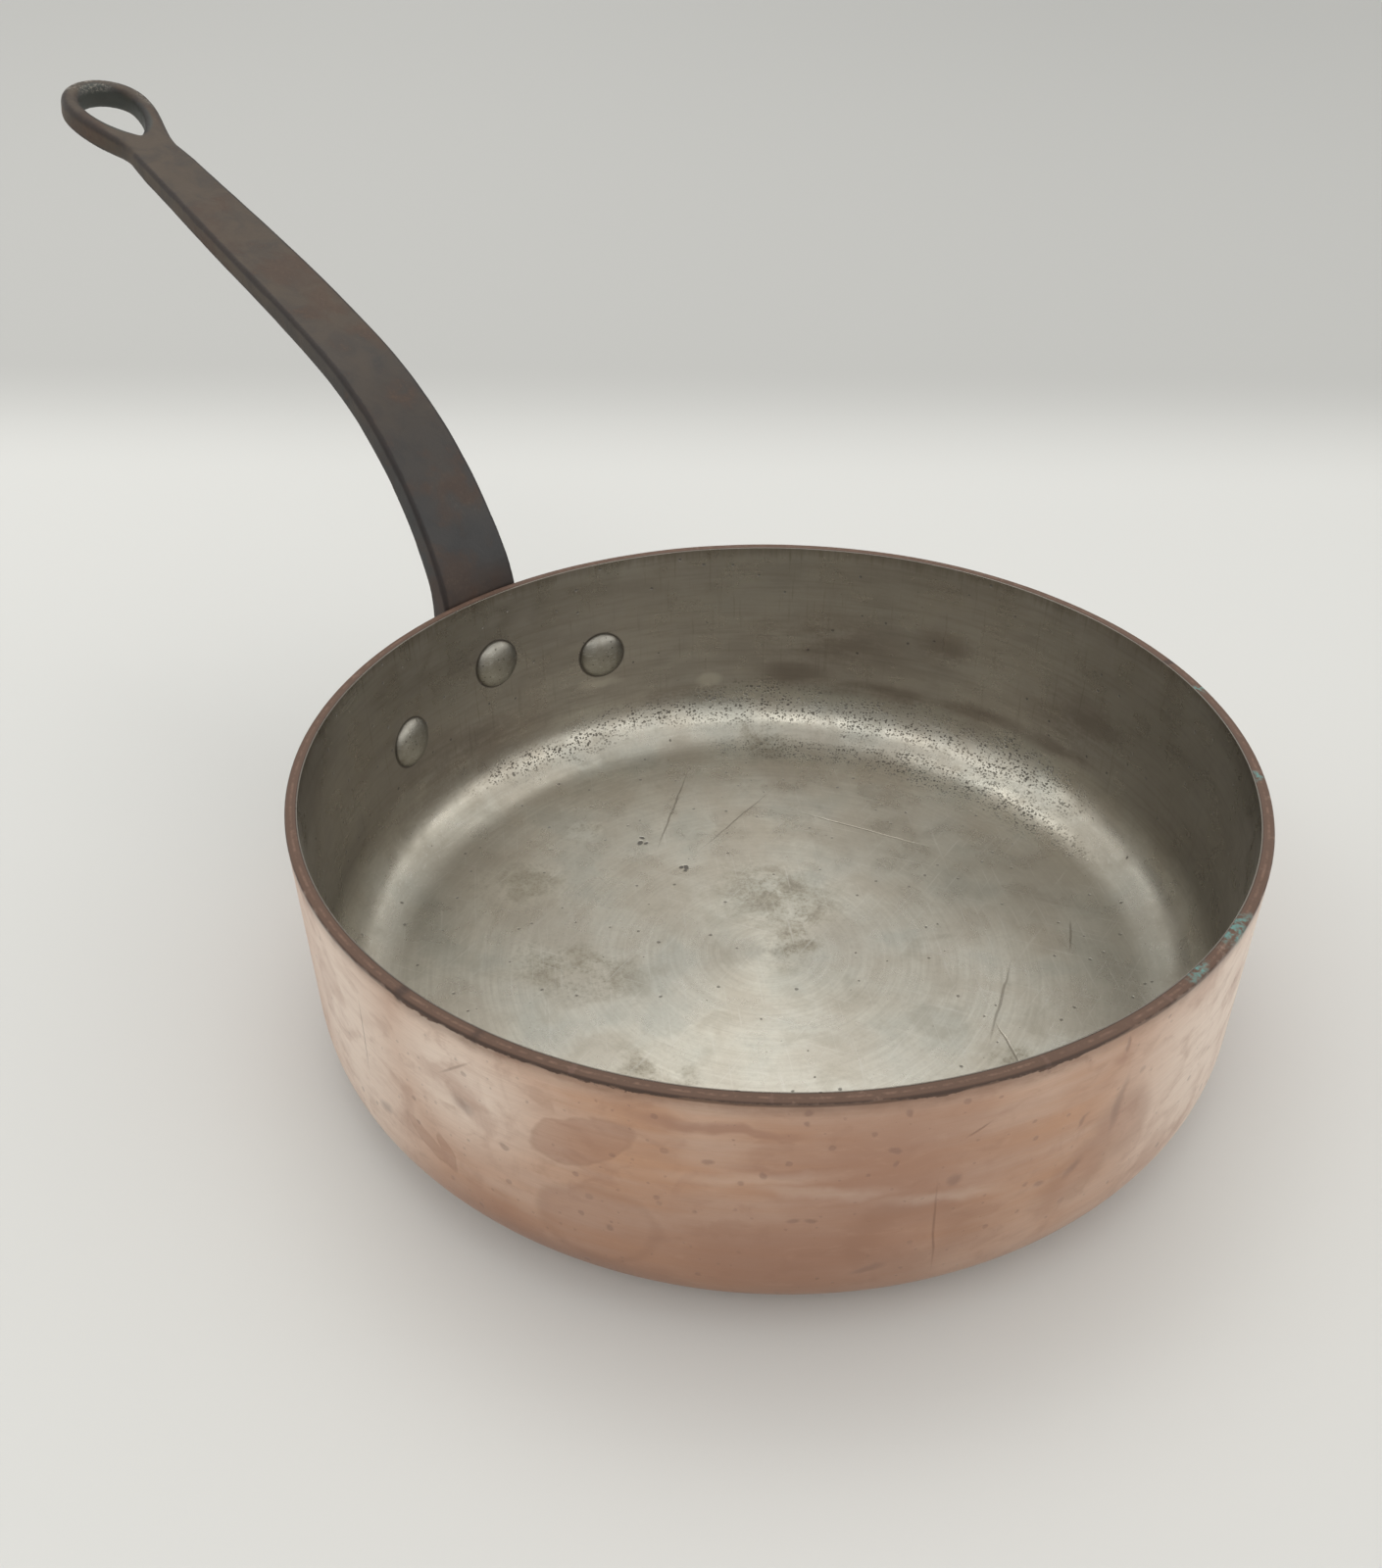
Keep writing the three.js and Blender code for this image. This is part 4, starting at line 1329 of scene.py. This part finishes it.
def loop_outlines():
    """Outline of the hanging loop and of its hole, in the bar's frame at the loop's middle."""
    neck, side, wide, reach = -NECK_TO_LOOP, WIDTHS[-1][1] / 2, LOOP_HALF_WIDTH, LOOP_END_REACH
    start = neck - LOOP_EDGE
    sweep = neck + NECK_EASE
    arc = CIRCLE_EASE
    outer = [
        ((start, -side), (start, side), (neck, -side)),
        ((neck, -side), (start, -side), (sweep, -side)),
        ((0.0, -wide), (-SHOULDER_EASE, -wide), (arc * reach, -wide)),
        ((reach, 0.0), (reach, -arc * wide), (reach, arc * wide)),
        ((0.0, wide), (arc * reach, wide), (-SHOULDER_EASE, wide)),
        ((neck, side), (sweep, side), (start, side)),
        ((start, side), (neck, side), (start, -side)),
    ]
    tip, beside = -HOLE_TIP_REACH, HOLE_TIP_EASE - HOLE_TIP_REACH
    shoulder, radius = -HOLE_SHOULDER_EASE, HOLE_RADIUS
    hole = [
        ((tip, 0.0), (beside, -HOLE_TIP_EASE), (beside, HOLE_TIP_EASE)),
        ((0.0, radius), (shoulder, radius), (arc * radius, radius)),
        ((radius, 0.0), (radius, arc * radius), (radius, -arc * radius)),
        ((0.0, -radius), (arc * radius, -radius), (shoulder, -radius)),
    ]
    return [outer, hole]


def add_loop(shape):
    mesh = flat_solid("loop", loop_outlines(), LOOP_THICKNESS, LOOP_EDGE)
    for vertex in mesh.vertices:
        t = min(max((vertex.co.x / MM + NECK_TO_LOOP) / (NECK_TO_LOOP - SHOULDER_EASE), 0.0), 1.0)
        swell = t * t * (3 - 2 * t)
        thickness = NECK_THICKNESS + (LOOP_THICKNESS - NECK_THICKNESS) * swell
        vertex.co.z *= thickness / LOOP_THICKNESS
    mesh.transform(bar_frame(LOOP_ALONG))
    shape.from_mesh(mesh)


def flange_outline():
    """Outline of the flange as it is seen along the handle: across, and above the base."""
    side, bottom, ease, lobe = WIDTHS[0][1] / 2, FLANGE_BOTTOM, FLANGE_ARM_EASE, FLANGE_LOBE
    lobe_y = FLANGE_MIDDLE * math.sin(math.radians(SIDE_RIVET_ANGLE))
    low, high = SIDE_RIVET_HEIGHT - lobe, SIDE_RIVET_HEIGHT + lobe
    arc = CIRCLE_EASE * lobe
    half = [
        ((side, FLANGE_TOP), (side, FLANGE_TOP), (side, high + ease)),
        ((lobe_y, high), (side + ease, high), (lobe_y + arc, high)),
        ((lobe_y + lobe, SIDE_RIVET_HEIGHT), (lobe_y + lobe, SIDE_RIVET_HEIGHT + arc),
         (lobe_y + lobe, SIDE_RIVET_HEIGHT - arc)),
        ((lobe_y, low), (lobe_y + arc, low), (lobe_y - lobe, low)),
    ]
    bottom_point = ((0.0, bottom), (side, bottom), (-side, bottom))
    mirrored = [
        tuple((-y, z) for y, z in (place, after, before)) for place, before, after in half[::-1]
    ]
    return [[*half, bottom_point, *mirrored]]


def add_flange(shape):
    mesh = flat_solid("flange", flange_outline(), FLANGE_THICKNESS, FLANGE_EDGE)
    for vertex in mesh.vertices:
        across, up, out = vertex.co / MM
        wall = WALL_RADIUS - WALL_DRAFT * (PAN_HEIGHT - up) / (PAN_HEIGHT - CORNER_RADIUS)
        radius = wall + SEAT_GAP + FLANGE_THICKNESS + out
        angle = math.asin(across / FLANGE_MIDDLE)
        vertex.co = Vector((radius * math.cos(angle), radius * math.sin(angle), up)) * MM
    shape.from_mesh(mesh)


def points_and_normals(mesh):
    points = np.empty(len(mesh.vertices) * 3, dtype=np.float32)
    normals = np.empty_like(points)
    mesh.vertices.foreach_get("co", points)
    mesh.vertex_normals.foreach_get("vector", normals)
    return points.reshape(-1, 3), normals.reshape(-1, 3)


def forge(mesh, amount):
    """Lets the faces wander a little inwards, and keeps them inside the CAD handle's box."""
    points, normals = points_and_normals(mesh)
    slow = np.array([noise.noise(point) for point in points / (SLOW_WAVE * MM)])
    quick = np.array([
        noise.noise(point) for point in points / (QUICK_WAVE * MM) + QUICK_SHIFT
    ])
    depth = amount * (EVEN_SHARE - SLOW_SHARE * slow - QUICK_SHARE * quick)
    moved = np.clip(points - normals * depth[:, None], HANDLE_LOW, HANDLE_HIGH)
    mesh.vertices.foreach_set("co", moved.astype(np.float32).ravel())
    mesh.update()


def mark_edges(mesh):
    """Stores how far each point stands out from its surroundings, in millimetres, as "edge"."""
    points, normals = points_and_normals(mesh)
    ends = np.empty(len(mesh.edges) * 2, dtype=np.int32)
    mesh.edges.foreach_get("vertices", ends)
    first, second = ends.reshape(-1, 2).T
    links = np.maximum(np.bincount(ends, minlength=len(points)), 1)[:, None]
    eased = points.copy()
    for _ in range(EDGE_EASINGS):
        around = np.zeros_like(eased)
        np.add.at(around, first, eased[second])
        np.add.at(around, second, eased[first])
        eased = 0.5 * eased + 0.5 * around / links
    stand_out = ((points - eased) * normals).sum(axis=1) / MM
    attribute = mesh.attributes.new("edge", "FLOAT", "POINT")
    attribute.data.foreach_set("value", stand_out.astype(np.float32))


# Operators

class PAN_OT_stage(bpy.types.Operator):
    """Add the floor, the soft light and the camera"""

    bl_idname = "pan.stage"
    bl_label = "Stage"

    def execute(self, context):
        stage = context.scene.pan_stage
        floor = floor_piece(stage)
        light_sky(stage)
        add_camera(stage)
        return {"FINISHED"}


def floor_piece(stage):
    shape = bmesh.new()
    bmesh.ops.create_circle(shape, cap_ends=True, segments=FLOOR_SEGMENTS, radius=stage.floor_reach)
    mesh = bpy.data.meshes.new("floor")
    shape.to_mesh(mesh)
    shape.free()
    floor = new_object("floor", mesh)
    material, graph = new_material("pale_paper")
    x, y = graph.xyz(place_in_mm(graph))[:2]
    behind = x * BEHIND[0] + y * BEHIND[1]
    far = graph.rise(behind, FAR_START, FAR_END)
    colour = graph.mix(far, stage.paper[:], stage.far_paper[:])
    across = x * BEHIND[1] - y * BEHIND[0]
    # Painted shade: the floor is darkened further behind the pan and towards one side
    painted_dimming = graph.rise(behind, FAR_END, DIM_END, 0.0, FAR_DIMMING)
    painted_dimming = painted_dimming + graph.rise(across, -ACROSS_END, ACROSS_END, 0.0, ACROSS_DIMMING)
    colour = graph.mix(painted_dimming, colour, (0.0, 0.0, 0.0))
    shader = graph.add("ShaderNodeBsdfPrincipled", None, {
        "Base Color": colour, "Roughness": 0.9, "Specular IOR Level": 0.1,
    })
    end_surface(graph, shader)
    mesh.materials.append(material)
    return floor


def light_sky(stage):
    world = bpy.data.worlds.new("sky")
    world.use_nodes = True
    world.node_tree.nodes.clear()
    graph = Graph(world.node_tree)
    x, y, up = graph.xyz(graph.add("ShaderNodeTexCoord", output="Generated"))
    level = graph.length(graph.combine(x, y, LEAST_LEVEL))
    near_side, far_side = [
        graph.maths("MAXIMUM", (x * glow[0] + y * glow[1]) / level, 0.0) ** 2.0
        for glow in (NEAR_GLOW, FAR_GLOW)
    ]
    beside = graph.maths("MAXIMUM", 1.0 - near_side - far_side, 0.0)
    brightness = 0.0
    for number, (height, camera_side, sides, beyond) in enumerate(SKY_BANDS):
        band = 1.0
        if number > 0:
            band = graph.rise(up, SKY_BANDS[number - 1][0], height)
        if number + 1 < len(SKY_BANDS):
            band = graph.rise(up, SKY_BANDS[number + 1][0], height) * band
        around = near_side * camera_side + beside * sides + far_side * beyond
        brightness = around * band * stage.sky + brightness
    background = graph.add("ShaderNodeBackground", None, {
        "Color": SKY_COLOUR, "Strength": brightness,
    })
    output = graph.tree.nodes.new("ShaderNodeOutputWorld")
    graph.tree.links.new(background.output, output.inputs["Surface"])
    bpy.context.scene.world = world
    bpy.context.scene.view_settings.view_transform = "Standard"


def add_camera(stage):
    camera = bpy.data.cameras.new("camera")
    camera.sensor_fit = "HORIZONTAL"
    camera.sensor_width = SENSOR_WIDTH
    camera.lens = stage.lens
    camera.clip_start = CLIP_START
    camera.clip_end = CLIP_END
    holder = new_object("camera", camera)
    holder.location = CAMERA_PLACE
    holder.rotation_euler = Euler([math.radians(degrees) for degrees in CAMERA_TURN])
    bpy.context.scene.camera = holder


class PAN_OT_copper_body(bpy.types.Operator):
    """Add the copper body"""

    bl_idname = "pan.copper_body"
    bl_label = "Copper Body"

    def execute(self, context):
        body = context.scene.pan_body
        depths = (0.0, body.copper_thickness)
        edges = (body.rim_edge, COPPER_INNER_EDGE * MM)
        piece = pan_layer("copper_body", body, depths, edges, copper_surface(body))
        stand_for(piece, "copper", "copper_shell")
        return {"FINISHED"}


class PAN_OT_steel_lining(bpy.types.Operator):
    """Add the steel lining"""

    bl_idname = "pan.steel_lining"
    bl_label = "Steel Lining"

    def execute(self, context):
        body = context.scene.pan_body
        depths = (body.lining_depth, body.wall_thickness)
        edges = [edge * MM for edge in LINING_EDGES]
        piece = pan_layer("steel_lining", body, depths, edges, steel_surface(body))
        stand_for(piece, "lining_steel", "inner_lining")
        return {"FINISHED"}


def pan_layer(name, body, depths, edges, material):
    return baked(name, layer_tree(), {
        "Rim Radius": body.diameter / 2,
        "Height": body.height,
        "Corner Radius": body.corner,
        "Draft": body.draft,
        "Outer Depth": depths[0],
        "Inner Depth": depths[1],
        "Outer Edge": edges[0],
        "Inner Edge": edges[1],
        "Waviness": body.waviness,
        "Rim Wear": 2 * body.waviness,
        "Segments": body.segments,
        "Material": material,
    })


class PAN_OT_rivets(bpy.types.Operator):
    """Add the three rivets"""

    bl_idname = "pan.rivets"
    bl_label = "Rivets"

    def execute(self, context):
        rivets, body = context.scene.pan_rivets, context.scene.pan_body
        bare = body.diameter / 2 - body.draft / 2 - body.wall_thickness
        inner_seat = math.sqrt(bare ** 2 - rivets.inner_radius ** 2) - HEAD_SINK * MM
        piece = baked("rivets", rivets_tree(), {
            "Shank Radius": rivets.shank,
            "Inner Radius": rivets.inner_radius,
            "Inner Height": rivets.inner_height,
            "Outer Radius": rivets.outer_radius,
            "Outer Height": rivets.outer_height,
            "Side Angle": rivets.side_angle,
            "Side Height": rivets.side_height,
            "Centre Height": rivets.centre_height,
            "Inner Seat": inner_seat,
            "Side Seat": SIDE_SEAT * MM,
            "Centre Seat": CENTRE_SEAT * MM,
            "Segments": rivets.segments,
            "Material": rivet_surface(rivets),
        })
        stand_for(piece, "rivet_steel", "rivet_left", "rivet_centre", "rivet_right")
        return {"FINISHED"}


class PAN_OT_iron_handle(bpy.types.Operator):
    """Add the iron handle"""

    bl_idname = "pan.iron_handle"
    bl_label = "Iron Handle"

    def execute(self, context):
        handle = context.scene.pan_handle
        shape = bmesh.new()
        add_bar(shape)
        add_loop(shape)
        add_flange(shape)
        rough = bpy.data.meshes.new("rough")
        shape.to_mesh(rough)
        shape.free()
        mesh = remeshed("iron_handle", rough, handle.voxel, WHOLE_SMOOTHINGS)
        blend_neck(mesh)
        face_outwards(mesh)
        forge(mesh, handle.unevenness)
        mark_edges(mesh)
        mesh.shade_smooth()
        mesh.materials.clear()
        mesh.materials.append(iron_surface(handle))
        piece = new_object("iron_handle", mesh)
        stand_for(piece, "handle_iron", "handle")
        return {"FINISHED"}


class PAN_PT_panel(bpy.types.Panel):
    """The pan's settings, and its pieces in the order that they are added"""

    bl_idname = "PAN_PT_panel"
    bl_label = "Copper Saute Pan"
    bl_space_type = "VIEW_3D"
    bl_region_type = "UI"
    bl_category = "Pan"

    def draw(self, context):
        layout = self.layout
        for label, settings, operators in PANEL_PARTS:
            box = layout.box()
            box.label(text=label)
            group = getattr(context.scene, settings)
            for name in group.__annotations__:
                box.prop(group, name)
            for operator in operators:
                box.operator(operator)


PANEL_PARTS = (
    ("Stage", "pan_stage", ("pan.stage",)),
    ("Body", "pan_body", ("pan.copper_body", "pan.steel_lining")),
    ("Rivets", "pan_rivets", ("pan.rivets",)),
    ("Handle", "pan_handle", ("pan.iron_handle",)),
)
SETTINGS = {
    "pan_stage": StageSettings,
    "pan_body": BodySettings,
    "pan_rivets": RivetSettings,
    "pan_handle": HandleSettings,
}
CLASSES = (
    *SETTINGS.values(),
    PAN_OT_stage,
    PAN_OT_copper_body,
    PAN_OT_steel_lining,
    PAN_OT_rivets,
    PAN_OT_iron_handle,
    PAN_PT_panel,
)


def register():
    for entry in CLASSES:
        bpy.utils.register_class(entry)
    for name, settings in SETTINGS.items():
        setattr(bpy.types.Scene, name, PointerProperty(type=settings))


def unregister():
    for name in SETTINGS:
        delattr(bpy.types.Scene, name)
    for entry in reversed(CLASSES):
        bpy.utils.unregister_class(entry)


def main():
    register()
    for *_, operators in PANEL_PARTS:
        for operator in operators:
            group, name = operator.split(".")
            getattr(getattr(bpy.ops, group), name)()


if __name__ == "__main__":
    main()
